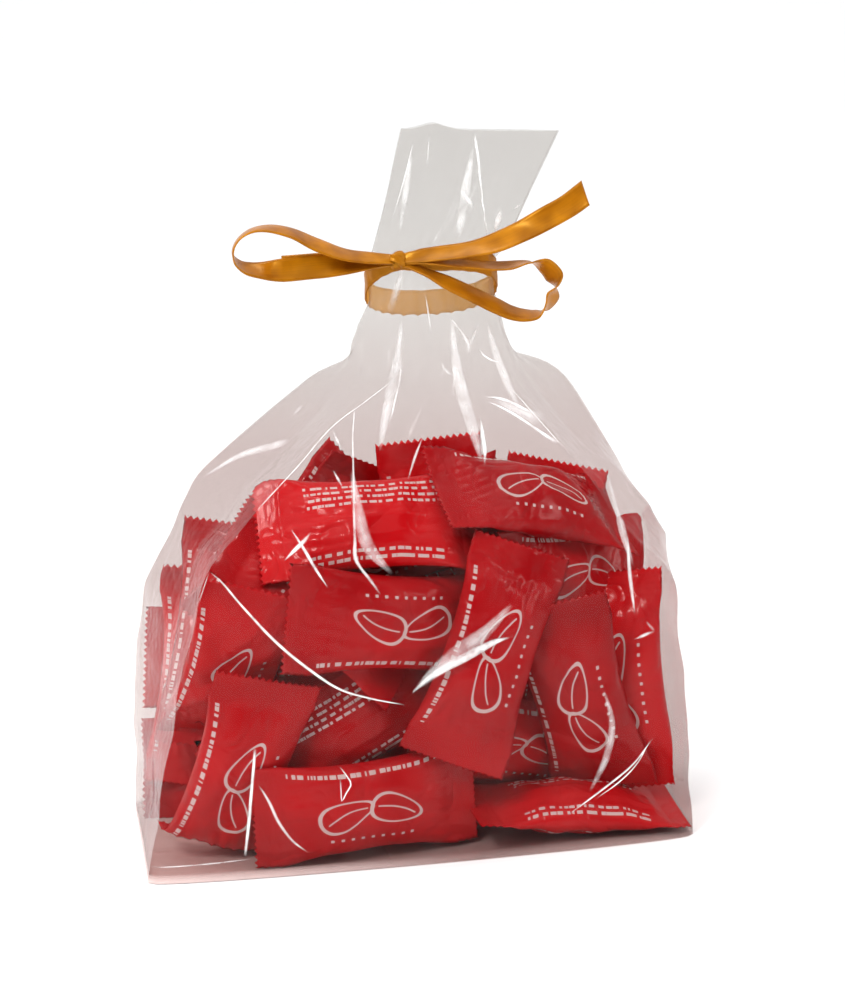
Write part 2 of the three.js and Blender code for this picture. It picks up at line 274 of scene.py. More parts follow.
def outline(height):
    """One ring of points round the bag in millimetres, counter-clockwise from the front left fold."""
    fl, fr, br, bl = (np.array([rounded(rows, height, 1), rounded(rows, height, 2)]) for rows in (
        FOLD_FRONT_LEFT, FOLD_FRONT_RIGHT, FOLD_BACK_RIGHT, FOLD_BACK_LEFT))
    side_right = (fr + br) / 2 - np.array([along(TUCK_RIGHT, height), 0])
    side_left = (fl + bl) / 2 + np.array([along(TUCK_LEFT, height), 0])
    broad, half_side = (FRONT_POINTS, PACKED_FRONT_POINTS), (SIDE_POINTS, PACKED_SIDE_POINTS)
    panels = (  # start, end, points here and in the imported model, angles round the neck, belly
        (fl, fr, broad, 230, 310, FRONT_BOW), (fr, side_right, half_side, 310, 360, 0),
        (side_right, br, half_side, 0, 50, 0), (br, bl, broad, 50, 130, BACK_BOW),
        (bl, side_left, half_side, 130, 180, 0), (side_left, fl, half_side, 180, 230, 0))
    neck = smoothstep(119, 140, height)
    tilt = NECK_TILT * smoothstep(NARROWING, NARROWED, height) * (1 - smoothstep(OPENING, OPENED, height))
    middle, half_width, half_depth = (along(GATHER, height, column) for column in (1, 2, 3))
    points, index = [], 0
    for start, end, (steps, packed_steps), a0, a1, bellied in panels:
        t = np.arange(steps) / steps
        span = np.hypot(*(end - start)) or 1
        normal = np.array([end[1] - start[1], start[0] - end[0]]) / span
        x = start[0] + (end[0] - start[0]) * t
        y = start[1] + (end[1] - start[1]) * t
        bow = swell(height, x, t, bellied) if bellied else 0 * t
        angle = np.radians(a0 + (a1 - a0) * t)
        inward = pleat(height, index + t * packed_steps)
        panel = x + normal[0] * bow, y + normal[1] * bow
        oval = middle + half_width * flattened(np.cos(angle)), half_depth * flattened(np.sin(angle))
        x = panel[0] * (1 - neck) + oval[0] * neck - inward * np.cos(angle) * 0.6
        y = panel[1] * (1 - neck) + oval[1] * neck - inward * np.sin(angle)
        mouth = smoothstep(165, TOP_HEIGHT, height)
        cut = mouth * (1.5 * np.exp(-((x - 12.4) / 4) ** 2) - 0.055 * (x - MOUTH_CENTRE))
        points.append(np.stack([x, y, height - tilt * y + cut], axis=1))
        index += packed_steps
    return np.concatenate(points)


print("belly ring", outline(40).min(axis=0).round(1), outline(40).max(axis=0).round(1), "mm")

# %% [markdown]
# Real film is never smooth. Where it hangs free over the shoulders it carries long soft folds that start at
# the neck, and over the sachets it is stretched into flat facets. Sine waves that run down the film and
# sharpen at their crests give both. The film moves only inwards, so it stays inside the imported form.

# %% Wrinkles of the free film
FREE_FOLDS = (  # (start and end round the bag, 0 to 1, lowest and highest height, depth in mm)
    (0.10, 0.17, 84, 136, 1.5), (0.22, 0.20, 92, 138, 1.2), (0.30, 0.27, 84, 138, 1.6),
    (0.02, 0.10, 92, 134, 1.2), (0.60, 0.66, 84, 136, 1.4), (0.72, 0.70, 90, 138, 1.3),
    (0.82, 0.78, 84, 138, 1.4), (0.50, 0.56, 92, 134, 1.0),
)
FACET_DEPTH = 0.9
FAN_WAVES, FAN_WAVE_DEPTH = 11, 0.2
FILM_HEIGHTS = np.concatenate([
    np.array([0, 0.6, 1.4, 2.4]), np.linspace(3.6, 96, 66), np.linspace(97.2, 152, 46),
    np.linspace(153.4, TOP_HEIGHT, 22)])


def free_film(height, points):
    """Pushes one ring inwards along the free folds and the small facets between the sachets."""
    around = np.arange(len(points)) / len(points)
    centre = np.array([points[:, 0].mean(), points[:, 1].mean()])
    inward = centre - points[:, :2]
    inward /= np.linalg.norm(inward, axis=1)[:, None] + 1e-9
    push = np.zeros(len(points))
    for start, end, low, high, depth in FREE_FOLDS:
        share = np.clip((height - low) / (high - low), 0, 1)
        place = start + (end - start) * share
        width = 0.022 - 0.012 * share
        push += depth * np.sin(np.pi * share) * np.exp(-np.abs(around - place) / width)
    filled = smoothstep(4, 20, height) * (1 - smoothstep(80, 104, height))
    x = points[:, 0]
    facets = np.abs(np.sin(x / 7.3 + height / 12.1 + 0.4)) * np.abs(np.sin(x / 15.0 - height / 6.9 + 1.9))
    push += filled * FACET_DEPTH * facets ** 1.5
    fan = smoothstep(152, 164, height)
    push += fan * FAN_WAVE_DEPTH * (1 + np.sin(around * 2 * np.pi * FAN_WAVES + 0.5 * np.sin(height / 6)))
    points = points.copy()
    points[:, :2] += inward * push[:, None]
    return points


film_rings = [free_film(h, outline(h)) * MM for h in FILM_HEIGHTS]
print("film rings", len(film_rings), "of", len(film_rings[0]))

# %% [markdown]
# The film is lofted once round, closed over the base and left open at the mouth. Real film of this kind is
# about 0.04 mm thick. It gets a wall of 0.15 mm, the thinnest that still renders cleanly, by bmesh's
# solidify. The four folds and the edge of the base are marked sharp, because film creases there.

# %% Loft the film
FILM_THICKNESS = 0.15 * MM
FOLDS_END = 104  # height above which the folds are lost in the gathers
FOLD_COLUMNS = (
    0, FRONT_POINTS, FRONT_POINTS + 2 * SIDE_POINTS, 2 * (FRONT_POINTS + SIDE_POINTS))

film_bm = bmesh.new()
film_grid = loft(film_bm, film_rings, caps="first")
fixed_order(film_bm)
bmesh.ops.recalc_face_normals(film_bm, faces=film_bm.faces)
base = min(film_bm.faces, key=lambda face: face.calc_center_median().z)
if base.normal.z > 0:  # an open sheet has no outside of its own
    bmesh.ops.reverse_faces(film_bm, faces=film_bm.faces)
for face in film_bm.faces:
    face.smooth = True
creased = []
for lower, upper, height in zip(film_grid, film_grid[1:], FILM_HEIGHTS):
    if height < FOLDS_END:
        creased += [(lower[column], upper[column]) for column in FOLD_COLUMNS]
creased += [(film_grid[0][k - 1], film_grid[0][k]) for k in range(FILM_AROUND)]
for ends in creased:
    film_bm.edges.get(ends).smooth = False
outer = BVHTree.FromBMesh(film_bm)
bmesh.ops.solidify(film_bm, geom=film_bm.faces[:], thickness=FILM_THICKNESS)
bmesh.ops.recalc_face_normals(film_bm, faces=film_bm.faces)
print("film wall", round(film_bm.calc_volume() * 1e9), "mm3,", len(creased), "sharp edges")

# %% [markdown]
# Handling leaves sharp creases in stiff film. Each one is a fine ridge, and the film turns white in it. That
# white is painted into the crease, and with it the highlight that the studio light would leave along its whole
# length.
# Older ones are fainter. Broad soft bands are painted glare, a weaker white where the film is gathered. All
# are flat lofts, thick in the middle and running out to nothing, laid on the film by casting a ray at it from
# the front. The tables hold x, height and width in millimetres of each crease's stations. Each vertex keeps
# how much painted white it shows, least at the sides and ends.

# %% Places of the creases
SHARP_CREASES = (
    # in the fan
    ((22.6, 181.8, 0.68), (23.2, 173.9, 0.78), (23.6, 166.4, 0.52), (24.7, 155.7, 0.26)),
    ((18.1, 167.9, 0.26), (19.2, 166.4, 1.43), (20.7, 164.3, 1.04), (21.3, 162.8, 0.26)),
    ((28.5, 162.9, 1.3), (27.9, 160.6, 1.82), (27.1, 158.4, 1.3), (26.6, 156.3, 0.26)),
    ((31.5, 161.6, 0.26), (33, 163, 0.52), (35.1, 163, 0.26)),
    # under the ribbon and on the shoulders
    ((20.6, 128.7, 0.26), (21.7, 126.9, 0.57), (23.6, 125.4, 0.57), (26.8, 124.4, 0.26)),
    ((11, 125.1, 0.26), (11.8, 123.4, 1.09), (13.5, 122.1, 0.26)),
    ((-18.2, 111.3, 0.26), (-17.4, 108.9, 0.91), (-16.3, 106.5, 0.26)),
    ((-19, 101.9, 0.26), (-18, 99.8, 0.83), (-16.9, 97.6, 0.26)),
    ((20.5, 116.8, 0.26), (25.1, 116.1, 0.83), (31.2, 113.1, 0.83), (37.7, 109.2, 0.88),
     (47.2, 104.2, 0.78), (54.3, 100.6, 0.26)),
    ((21.4, 115.8, 0.26), (27, 112.9, 0.73), (32.3, 109.2, 0.83), (37.3, 105.6, 1.09), (43.3, 102.4, 1.4),
     (50.8, 99.9, 0.26)),
    ((19.5, 111.9, 0.26), (19.6, 107.9, 1.3), (19.7, 103.8, 1.04), (19.3, 100.5, 0.26)),
    # over the sachets
    ((-30.6, 88.7, 0.21), (-28, 84.2, 0.88), (-25.2, 78.8, 0.83), (-22.6, 74.3, 0.26)),
    ((-33, 81.4, 0.21), (-29.8, 84, 1.17), (-27.6, 85.8, 1.17), (-25.7, 87.7, 0.21)),
    ((-51.2, 79.6, 0.21), (-49.8, 78.4, 0.42), (-44.4, 71.6, 0.62), (-36.4, 62, 0.83), (-28.6, 54.4, 0.83),
     (-21.1, 48.6, 0.68), (-12.8, 45.2, 0.52), (-4.6, 43.1, 0.21)),
    ((-2.8, 45.9, 0.52), (0.6, 48.8, 1.3), (4.4, 51.2, 2.08), (9.6, 53.9, 2.6), (14.8, 56, 2.34),
     (19.2, 57.6, 1.56), (22.9, 58.3, 0.26)),
    ((54.5, 55.1, 0.21), (57.4, 56.1, 0.99), (60.3, 56.9, 0.52)),
    ((58, 59.7, 0.21), (59.3, 58, 0.88), (60.3, 56.9, 0.52)),
    ((36.7, 10, 0.21), (42.5, 13.9, 0.52), (48.2, 18.1, 0.62), (54, 22.8, 0.52), (59.5, 28.8, 0.21)),
    ((44, 13.8, 0.21), (49, 17.2, 0.42), (54.5, 22.2, 0.42), (58.4, 27.8, 0.21)),
    ((-42.7, 35.2, 0.78), (-43.9, 25.7, 0.88), (-45, 16.2, 0.94), (-46.4, 6.4, 0.78)),
    ((-21.9, 28.8, 0.31), (-20.3, 26.3, 0.47), (-19.1, 23.8, 0.42), (-20.4, 21.5, 0.47),
     (-21.5, 19.4, 0.36), (-21.7, 22.4, 0.36), (-21.8, 25.7, 0.36)),
)
FAINT_CREASES = (
    # in the fan
    ((10.9, 182.4, 0.26), (10, 173.2, 0.47), (9, 164.4, 0.47), (9.4, 157.9, 0.26)),
    ((7.1, 180.7, 0.21), (4.2, 170.9, 0.36), (0.7, 161.1, 0.21)),
    # under the ribbon and on the shoulders
    ((13.2, 137.2, 0.26), (15.8, 133.7, 0.73), (18.3, 128.8, 1.3), (17.1, 125.3, 0.94),
     (15.7, 121.6, 0.26)),
    ((21.5, 134.3, 0.26), (19.7, 131.5, 0.78), (18.3, 128.6, 1.04)),
    ((7.9, 142.8, 0.26), (8.4, 138, 0.62), (8.9, 131.9, 0.26)),
    ((0.9, 126.2, 0.26), (-0.5, 120.8, 0.62), (-2.2, 116.2, 0.62), (-3.7, 111.9, 0.26)),
    ((-8.2, 125.6, 0.21), (-10.1, 119.2, 0.36), (-11.8, 112.3, 0.21)),
    ((4.3, 108.3, 0.26), (2.1, 104.1, 0.78), (-0.4, 98.4, 0.26)),
    ((-11.7, 119.2, 0.26), (-13.1, 111, 0.47), (-14.2, 96.9, 0.62), (-14.9, 85.1, 0.88),
     (-14.9, 79.9, 1.09), (-14.2, 78.6, 0.83), (-11.9, 75.3, 0.94), (-9.4, 71.4, 0.26)),
    # over the sachets
    ((54.4, 81.7, 0.21), (54.2, 75, 1.04), (54.5, 67.5, 1.04), (55.1, 61.8, 0.21)),
    ((-42.4, 25.9, 0.26), (-40.1, 21.4, 0.83), (-37.4, 14.6, 0.88), (-34, 9.3, 0.68), (-30.3, 5.9, 0.26)),
    # along the folds and the base
    ((-1, 122.5, 0.26), (-9.5, 117.4, 0.31), (-18, 112.2, 0.36), (-27.6, 103.3, 0.36), (-36.7, 95.1, 0.36),
     (-44.4, 87.9, 0.36), (-50.3, 81.6, 0.42), (-52.9, 77.3, 0.42), (-57.3, 63.4, 0.36), (-61.2, 49, 0.36),
     (-66.1, 25.7, 0.31), (-70.8, 0.9, 0.26)),
    ((27.1, 119.5, 0.26), (36.7, 107.5, 0.31), (48.5, 92.6, 0.31), (54.4, 81.4, 0.31), (60.7, 76.7, 0.31),
     (66.1, 71, 0.31), (68.2, 40.1, 0.29), (70.6, 2.5, 0.26)),
    ((-51.4, 79.8, 0.21), (-55.2, 70, 0.42), (-59, 56.1, 0.42), (-60.8, 49.6, 0.21)),
    ((-70.1, 4.5, 0.21), (-61.5, 4.7, 0.42), (-53.7, 5, 0.47), (-45.2, 5.5, 0.26)),
)
# painted glare: broad soft white bands where the film is gathered
PAINTED_GLARE_BANDS = (
    # in the fan
    ((22.2, 178.6, 0.78), (20.2, 170.8, 2.34), (18.3, 162.5, 2.86), (17, 155.5, 1.04)),
    ((6.5, 178.3, 0.52), (4.6, 168.9, 2.08), (2.4, 158.2, 0.78)),
    # under the ribbon and on the shoulders
    ((3, 150.7, 0.78), (1.4, 144.9, 2.08), (-1.2, 138.4, 2.6), (-4.4, 131.9, 1.04)),
    ((1.7, 136.9, 0.78), (0.4, 129, 2.34), (-2.2, 120.9, 3.12), (-4.9, 112.9, 2.34), (-6.9, 105.4, 0.78)),
    ((14.4, 136.2, 0.78), (14.5, 127.8, 2.34), (15.3, 118.3, 3.64), (17.3, 108.7, 3.12),
     (18.7, 101.5, 1.04)),
    ((23.5, 134.6, 0.52), (24.7, 128.2, 1.82), (26.7, 120.9, 2.34), (29.6, 113.2, 1.04)),
    ((23.3, 115.9, 0.78), (29.6, 113, 3.12), (36.8, 108.9, 4.16), (45, 103.4, 3.38), (52.2, 99.6, 1.04)),
    ((-48.3, 94.6, 0.78), (-39.4, 100.5, 2.34), (-29.7, 104.9, 2.6), (-21.1, 109.1, 0.78)),
    ((-15.8, 120.2, 0.52), (-24.8, 112, 1.82), (-33.9, 103.6, 2.08), (-43.7, 93.8, 0.78)),
    ((53.7, 97.9, 0.52), (52.7, 90.8, 2.08), (53.2, 82.7, 2.34), (55.2, 73.9, 0.78)),
    # over the sachets
    ((-14.3, 101.6, 0.78), (-13.6, 92.1, 3.12), (-11.8, 83.5, 3.64), (-6.3, 76.3, 1.04)),
    ((-2.3, 46.4, 0.78), (3.4, 51.2, 3.64), (10.2, 56.3, 4.68), (16.5, 60.3, 3.64), (23.5, 66.9, 1.04)),
    ((46.6, 42.7, 0.52), (48.3, 34.3, 1.82), (46.6, 24.9, 2.08), (42.5, 15.8, 0.78)),
)

# %% Creases and painted highlights of the front
SHARP_COVER, FAINT_COVER, GLARE_BAND_COVER = 1.0, 0.6, 0.34  # share of painted white, whitening and highlight in one, that a crease or band shows
CREASE_SIDES = 8
CREASE_STEP = 1.2  # spacing of a crease's rings in mm
CREASE_RISE = 0.32  # height of a ridge over its width
TALLEST_RIDGE = 0.2 * MM
RIDGE_LIFT = 0.25  # share of its height that a ridge is raised out of the film
RUN_OUT = 3  # rings over which a crease fades at each end
FRONT_LIMIT = 0.35  # a crease ends where the film turns this far away from the front
RAY_START, RAY_AIM = -0.2, Vector((0, 1, 0))  # in front of the bag, towards its back


def smooth_line(stations, spacing):
    """Points at about an even spacing on a smooth curve through the stations."""
    stations = np.array(stations, float)
    reach = np.concatenate([[0], np.cumsum(np.linalg.norm(np.diff(stations[:, :2], axis=0), axis=1))])
    places = np.linspace(0, reach[-1], max(3, int(round(reach[-1] / spacing)) + 1))
    slopes = np.gradient(stations, reach, axis=0)
    result = []
    for place in places:
        k = min(int(np.searchsorted(reach, place, side="right")) - 1, len(reach) - 2)
        step = reach[k + 1] - reach[k]
        t = (place - reach[k]) / step
        result.append(
            (2 * t ** 3 - 3 * t ** 2 + 1) * stations[k] + (t ** 3 - 2 * t ** 2 + t) * step * slopes[k]
            + (3 * t ** 2 - 2 * t ** 3) * stations[k + 1] + (t ** 3 - t ** 2) * step * slopes[k + 1])
    return np.array(result)


def crease_sections(stations):
    """Rings of one crease, flat on the film and half sunk in it."""
    laid = []
    for x, z, width in smooth_line(stations, CREASE_STEP):
        hit, normal, _, _ = outer.ray_cast(Vector((x * MM, RAY_START, z * MM)), RAY_AIM)
        if hit is not None and -normal.y >= FRONT_LIMIT:
            laid.append((hit, normal, width * MM))
        elif laid:
            break
    sections = []
    for i, (place, normal, width) in enumerate(laid):
        ahead = (laid[min(i + 1, len(laid) - 1)][0] - laid[max(i - 1, 0)][0]).normalized()
        across = ahead.cross(normal).normalized()
        lift = across.cross(ahead) * min(width * CREASE_RISE, TALLEST_RIDGE)
        angles = [2 * math.pi * k / CREASE_SIDES for k in range(CREASE_SIDES)]
        sections.append([
            place + across * (math.cos(a) * width / 2) + lift * (math.sin(a) + RIDGE_LIFT) for a in angles])
    return sections


crease_bm = bmesh.new()
whitening_and_glint_layer = crease_bm.verts.layers.float.new("whitening_and_glint")
for group, strength in (
        (SHARP_CREASES, SHARP_COVER), (FAINT_CREASES, FAINT_COVER), (PAINTED_GLARE_BANDS, GLARE_BAND_COVER)):
    for stations in group:
        grid = loft(crease_bm, crease_sections(stations), caps="both")
        for i, ring in enumerate(grid):
            running_out = min(1, min(i, len(grid) - 1 - i) / RUN_OUT)
            for k, vertex in enumerate(ring):
                # painted white and highlight, strongest along the ridge's middle and fading at its sides and
                # ends
                vertex[whitening_and_glint_layer] = strength * running_out * math.sin(2 * math.pi * k / CREASE_SIDES) ** 2
bmesh.ops.recalc_face_normals(crease_bm, faces=crease_bm.faces)
for face in crease_bm.faces:
    face.smooth = len(face.verts) == 4
    face.material_index = 1  # the second of the film piece's two materials
print("creases", len(SHARP_CREASES), len(FAINT_CREASES), len(PAINTED_GLARE_BANDS), "faces", len(crease_bm.faces))

# %% [markdown]
# The film's finish is cast polypropylene, clear and glossy. It lets most light through with a slight grey
# tint, reflects more the flatter the eye looks along it, and keeps a thin haze from handling. A glass
# shader would bend and darken what lies behind such a thin wall, so a Transparent shader is mixed with a
# Glossy one by Layer Weight, which acts the same from both sides. The haze is a faint white Diffuse. A Map
# Range node's inputs are a value, the two ends of its range, and what it becomes at each.

# %% Clear film material
def film_material():
    material, tree = new_material("cast_polypropylene_film")
    place = add(tree, "TexCoord").outputs["Object"]
    # soft creasing, long down the film: about 14 mm by 45 mm
    stretch = add(tree, "Mapping", {"Vector": place, "Scale": (70, 70, 22)})
    soft = add(tree, "TexNoise", {"Vector": stretch, "Scale": 1.0, "Detail": 2.0, "Distortion": 0.6})
    # fine crinkle about 2 mm across
    crinkle = add(tree, "TexNoise", {"Vector": place, "Scale": 420.0, "Detail": 0.0})
    both = add(tree, "Math", (soft, 6.0, crinkle), operation="MULTIPLY_ADD")
    bump = add(tree, "Bump", {"Height": both, "Strength": 0.35, "Distance": 0.4 * MM})
    facing = add(tree, "LayerWeight", {"Blend": 0.5, "Normal": bump}).outputs["Facing"]
    grazing = add(tree, "Math", (facing, 5.0), operation="POWER")
    mirror = add(tree, "MapRange", (grazing, 0.0, 1.0, 0.003, 0.35))
    handled = add(tree, "MapRange", (soft, 0.4, 0.75, 0.0, 0.008))
    # the glued base and the tight gathers of the neck are milkier; the base's haze also grows towards its left
    # as a painted reflection
    where = add(tree, "SeparateXYZ", (place,))
    height = where.outputs["Z"]
    glued_and_left_glare = add(tree, "MapRange", (where.outputs["X"], -60 * MM, 10 * MM, 0.75, 0.1))
    base = add(tree, "MapRange", (height, 0.4 * MM, 2.5 * MM, glued_and_left_glare, 0.0))
    neck = add(tree, "MapRange", (height, 122 * MM, 140 * MM, 0.0, 0.035))
    above = add(tree, "MapRange", (height, 150 * MM, 160 * MM, 1.0, 0.15))
    gathered = add(tree, "Math", (neck, above, handled), operation="MULTIPLY_ADD")
    haze = add(tree, "Math", (gathered, base), operation="ADD")
    # the belly's film and its haze are painted a pinkish grey that stands in for red light bounced from the
    # sweets; the empty top stays a plain grey
    empty = add(tree, "MapRange", (height, 100 * MM, 140 * MM, 0.0, 1.0))
    tint = add(tree, "Mix", {0: empty, 6: linear("#ECE7E6"), 7: linear("#F3F2F1")}, data_type="RGBA")
    haze_with_red_bounce = add(tree, "Mix", {0: empty, 6: linear("#F2DAD6"), 7: linear("#F3EEEC")}, data_type="RGBA")
    clear = add(tree, "BsdfTransparent", {"Color": tint.outputs[2]})
    veil = add(tree, "BsdfDiffuse", {"Color": haze_with_red_bounce.outputs[2], "Normal": bump})
    gloss = add(tree, "BsdfGlossy", {"Color": linear("#FFFFFF"), "Roughness": 0.1, "Normal": bump})
    hazy = add(tree, "MixShader", (haze, clear, veil))
    add(tree, "OutputMaterial", (add(tree, "MixShader", (mirror, hazy, gloss)),))
    return material

# %% [markdown]
# In a crease the film is stretched until it turns milky white, but keeps its gloss. The material paints that
# white, and with it the highlights and glare that light leaves along the creases and bands. The creases are
# joined to the film, as they are one sheet with it.

# %% Crease material with painted highlights, and the finished film
def crease_and_glint_material():
    material, tree = new_material("whitened_crease_and_painted_glint")
    place = add(tree, "TexCoord").outputs["Object"]
    uneven = add(tree, "TexNoise", {"Vector": place, "Scale": 260.0, "Detail": 2.0})
    patchy = add(tree, "MapRange", (uneven, 0.3, 0.6, 0.35, 1.0))
    whitening_and_glint_share = add(tree, "Attribute", attribute_name="whitening_and_glint").outputs["Fac"]
    whitening_and_glint = add(tree, "Math", (whitening_and_glint_share, patchy), operation="MULTIPLY")
    # white of the whitened film and of the painted highlights along the creases, in one shader
    white_glint_shader = add(tree, "BsdfPrincipled", {"Base Color": linear("#FFFFFF"), "Roughness": 0.22, "IOR": 1.49})
    clear = add(tree, "BsdfTransparent", {"Color": linear("#FFFFFF")})
    add(tree, "OutputMaterial", (add(tree, "MixShader", (whitening_and_glint, clear, white_glint_shader)),))
    return material


crease_mesh = bpy.data.meshes.new("creases")
crease_bm.to_mesh(crease_mesh)
crease_bm.free()
film_bm.verts.layers.float.new("whitening_and_glint")
film_bm.from_mesh(crease_mesh)
bpy.data.meshes.remove(crease_mesh)
piece(film_bm, "film", [film_material(), crease_and_glint_material()], "bag")

# %% [markdown]
# Each sachet is a flow wrap, 60 by 28 mm: a tube of printed film round one chocolate-covered almond, sealed
# flat at both ends by a crimping jaw. The jaw leaves ridges along the seal and a knife cuts it into teeth.
# One flat pattern of the wrap, front and back, is made once and shaped again for each sachet, so
# no two are alike. The pattern starts from bmesh's grid.

# %% Flat pattern of one wrap
SACHET_LENGTH, SACHET_WIDTH = 60.0, 28.0
SEAL = 7.5  # crimped seal at each end
TOOTH = 0.9  # depth of the teeth
PRINT_SCALE = 100  # millimetres of wrap in one unit of its UV map


def wrap_pattern(teeth, seal_steps, body_steps):
    """Front and back sheets in millimetres, x along, z across, y -1 for the front and 1 for the back."""
    half, inner = SACHET_LENGTH / 2, SACHET_LENGTH / 2 - SEAL
    columns = np.concatenate([
        np.linspace(-half, -inner, seal_steps + 1)[:-1], np.linspace(-inner, inner, body_steps + 1),
        np.linspace(inner, half, seal_steps + 1)[1:]])
    last, rows = len(columns) - 1, 2 * teeth
    bm = bmesh.new()
    bmesh.ops.create_grid(bm, x_segments=last, y_segments=rows, size=1)
    layer = bm.loops.layers.uv.new("Print")
    for vertex in bm.verts:
        column, row = round((vertex.co.x + 1) / 2 * last), round((vertex.co.y + 1) / 2 * rows)
        vertex.co = (columns[column], -1, (row / rows - 0.5) * SACHET_WIDTH)
        if column in (0, last) and row % 2:
            vertex.co.x *= 1 - TOOTH / half
    for face in bm.faces:
        face.smooth = True
        for loop in face.loops:
            loop[layer].uv = (loop.vert.co.x / PRINT_SCALE + 0.5, loop.vert.co.z / PRINT_SCALE + 0.5)
    copied = bmesh.ops.duplicate(bm, geom=bm.faces[:])["geom"]
    back_faces = [g for g in copied if isinstance(g, bmesh.types.BMFace)]
    bmesh.ops.reverse_faces(bm, faces=back_faces)
    for face in back_faces:
        for loop in face.loops:
            loop[layer].uv.x += 1.0
            loop.vert.co.y = 1
    rim = [v for v in bm.verts if v.is_boundary]
    for vertex in rim:
        vertex.co.y = 0
    bmesh.ops.remove_doubles(bm, verts=rim, dist=0.01)
    bmesh.ops.recalc_face_normals(bm, faces=bm.faces)
    mesh = bpy.data.meshes.new("wrap_pattern")
    bm.to_mesh(mesh)
    bm.free()
    print("wrap pattern triangles", triangles(mesh))
    return mesh


fine_wrap = wrap_pattern(teeth=16, seal_steps=8, body_steps=24)
plain_wrap = wrap_pattern(teeth=8, seal_steps=3, body_steps=14)

# %% [markdown]
# The almond lifts the wrap into a cushion. The tube's girth stays the same, so the wrap
# narrows where it is thick. Pleats run from the seals towards the almond, and sharp-bottomed
# dents cross the body where the wrap was squeezed. Each end can also be bent to the front or to the back,
# because the heap pushes on it.

# %% Shape one wrap
ALMOND_HALF_HEIGHT = 6.2
NARROWER = 2.2  # how far each edge is drawn in over the almond
PLEAT_DEPTH = 1.5  # of the pleats by the seals
RIDGES, RIDGE_HEIGHT = 4, 0.26  # ridges that the jaw leaves along each seal
FIN_WIDTH, FIN_HEIGHT = 6.2, 0.45  # the seam that lies along the back
BEND_START, BEND_ROUND = 17.0, 7  # where an end begins to bend, and over what length


def ridged(u, v, waves):
    """Sums of folded sine waves: smooth flanks that meet in sharp lines."""
    total = np.zeros(len(u))
    for angle, length, phase, depth in waves:
        wave = np.sin((u * math.cos(angle) + v * math.sin(angle)) * 2 * math.pi / length + phase)
        total += depth * (0.6 - np.abs(wave))
    return total


def dent_waves(rng, shallow, deep):
    """Four waves, each with its direction, length, phase and depth."""
    return [(rng.uniform(0, np.pi), rng.uniform(15, 30), rng.uniform(0, 6.28), rng.uniform(shallow, deep))
            for _ in range(4)]


def bent(u, offset, degrees):
    """Rolls the end beyond the bend's start over by an angle, and carries the wrap's thickness with it."""
    places = np.linspace(BEND_START, SACHET_LENGTH / 2 + 1, 40)
    turn = math.radians(degrees) * smoothstep(BEND_START, BEND_START + BEND_ROUND, places)
    step = places[1] - places[0]
    run = BEND_START + np.concatenate([[0], np.cumsum(np.cos((turn[1:] + turn[:-1]) / 2) * step)])
    rise = np.concatenate([[0], np.cumsum(np.sin((turn[1:] + turn[:-1]) / 2) * step)])
    beyond = u > BEND_START
    angle = np.interp(u, places, turn)
    new_u = np.where(beyond, np.interp(u, places, run) - offset * np.sin(angle), u)
    new_offset = np.where(beyond, np.interp(u, places, rise) + offset * np.cos(angle), offset)
    return new_u, new_offset


def shape_wrap(flat, rng, bends):
    """Vertex places in millimetres of one filled, crumpled wrap."""
    u, side, v = flat[:, 0], flat[:, 1], flat[:, 2]
    inner, half_width = SACHET_LENGTH / 2 - SEAL, SACHET_WIDTH / 2
    shift_u, shift_v = rng.uniform(-2.5, 2.5), rng.uniform(-0.8, 0.8)
    fill = ALMOND_HALF_HEIGHT * rng.uniform(0.9, 1.04)
    body = np.abs(u) < inner
    lengthwise = np.clip(1 - (np.abs(u - shift_u * (1 - np.abs(u) / inner)) / inner) ** 2.2, 0, 1) ** 0.9
    off_middle = (v - shift_v * (1 - np.abs(v) / half_width)) / half_width
    crosswise = np.clip(1 - np.abs(off_middle) ** 2.2, 0, 1) ** 0.55
    narrowed = v * (half_width - NARROWER * lengthwise) / half_width
    thick = fill * lengthwise * crosswise
    waves, other = dent_waves(rng, 0.35, 0.9), dent_waves(rng, 0.3, 0.75)
    dents = np.where(side < 0, ridged(u, v, waves), ridged(u, v, other))
    near_seal = np.exp(-((inner - np.abs(u)) / 6.5) ** 2) * body
    pleat_wave = (np.pi / 2, rng.uniform(5, 7.5), rng.uniform(0, 6.28), PLEAT_DEPTH)
    pleats = ridged(u * 0, v + 0.25 * np.abs(u), [pleat_wave])
    room = np.clip(thick / fill, 0, 1) ** 0.5
    thick = np.maximum(thick + (dents * 0.9 + pleats * near_seal) * room, 0.09 * np.abs(side))
    fin = smoothstep(-0.8, 0.1, v) * (1 - smoothstep(FIN_WIDTH, FIN_WIDTH + 1, v)) * FIN_HEIGHT * (side > 0)
    offset = side * (thick + fin * smoothstep(0, 4, inner - np.abs(u)))
    column = np.abs(np.abs(u) - inner) / SEAL
    ridges = RIDGE_HEIGHT * np.cos(2 * np.pi * RIDGES * column) * (~body) * smoothstep(0, 0.12, column)
    curl = rng.uniform(-0.02, 0.02) * v ** 2 * smoothstep(14, 28, np.abs(u)) * 0.35
    twist = math.radians(rng.uniform(-9, 9))
    offset = offset + ridges + curl + narrowed * np.sin(twist * u / 30)
    u, offset = bent(u, offset, bends[1])
    flipped, offset = bent(-u, offset, bends[0])
    return np.stack([-flipped, offset, narrowed], axis=1)

# %% [markdown]
# The heap isn't random: its front row is set sachet by sachet, and the rest fill the bag behind it. The
# places were relaxed beforehand so that no sachet cuts deep into another or through the film. Each row
# gives the middle in millimetres, then lean, turn and swing in degrees, then how far each
# end is bent. Turn is about the line of sight, lean tips the top, and swing turns the wrap about the
# upright.

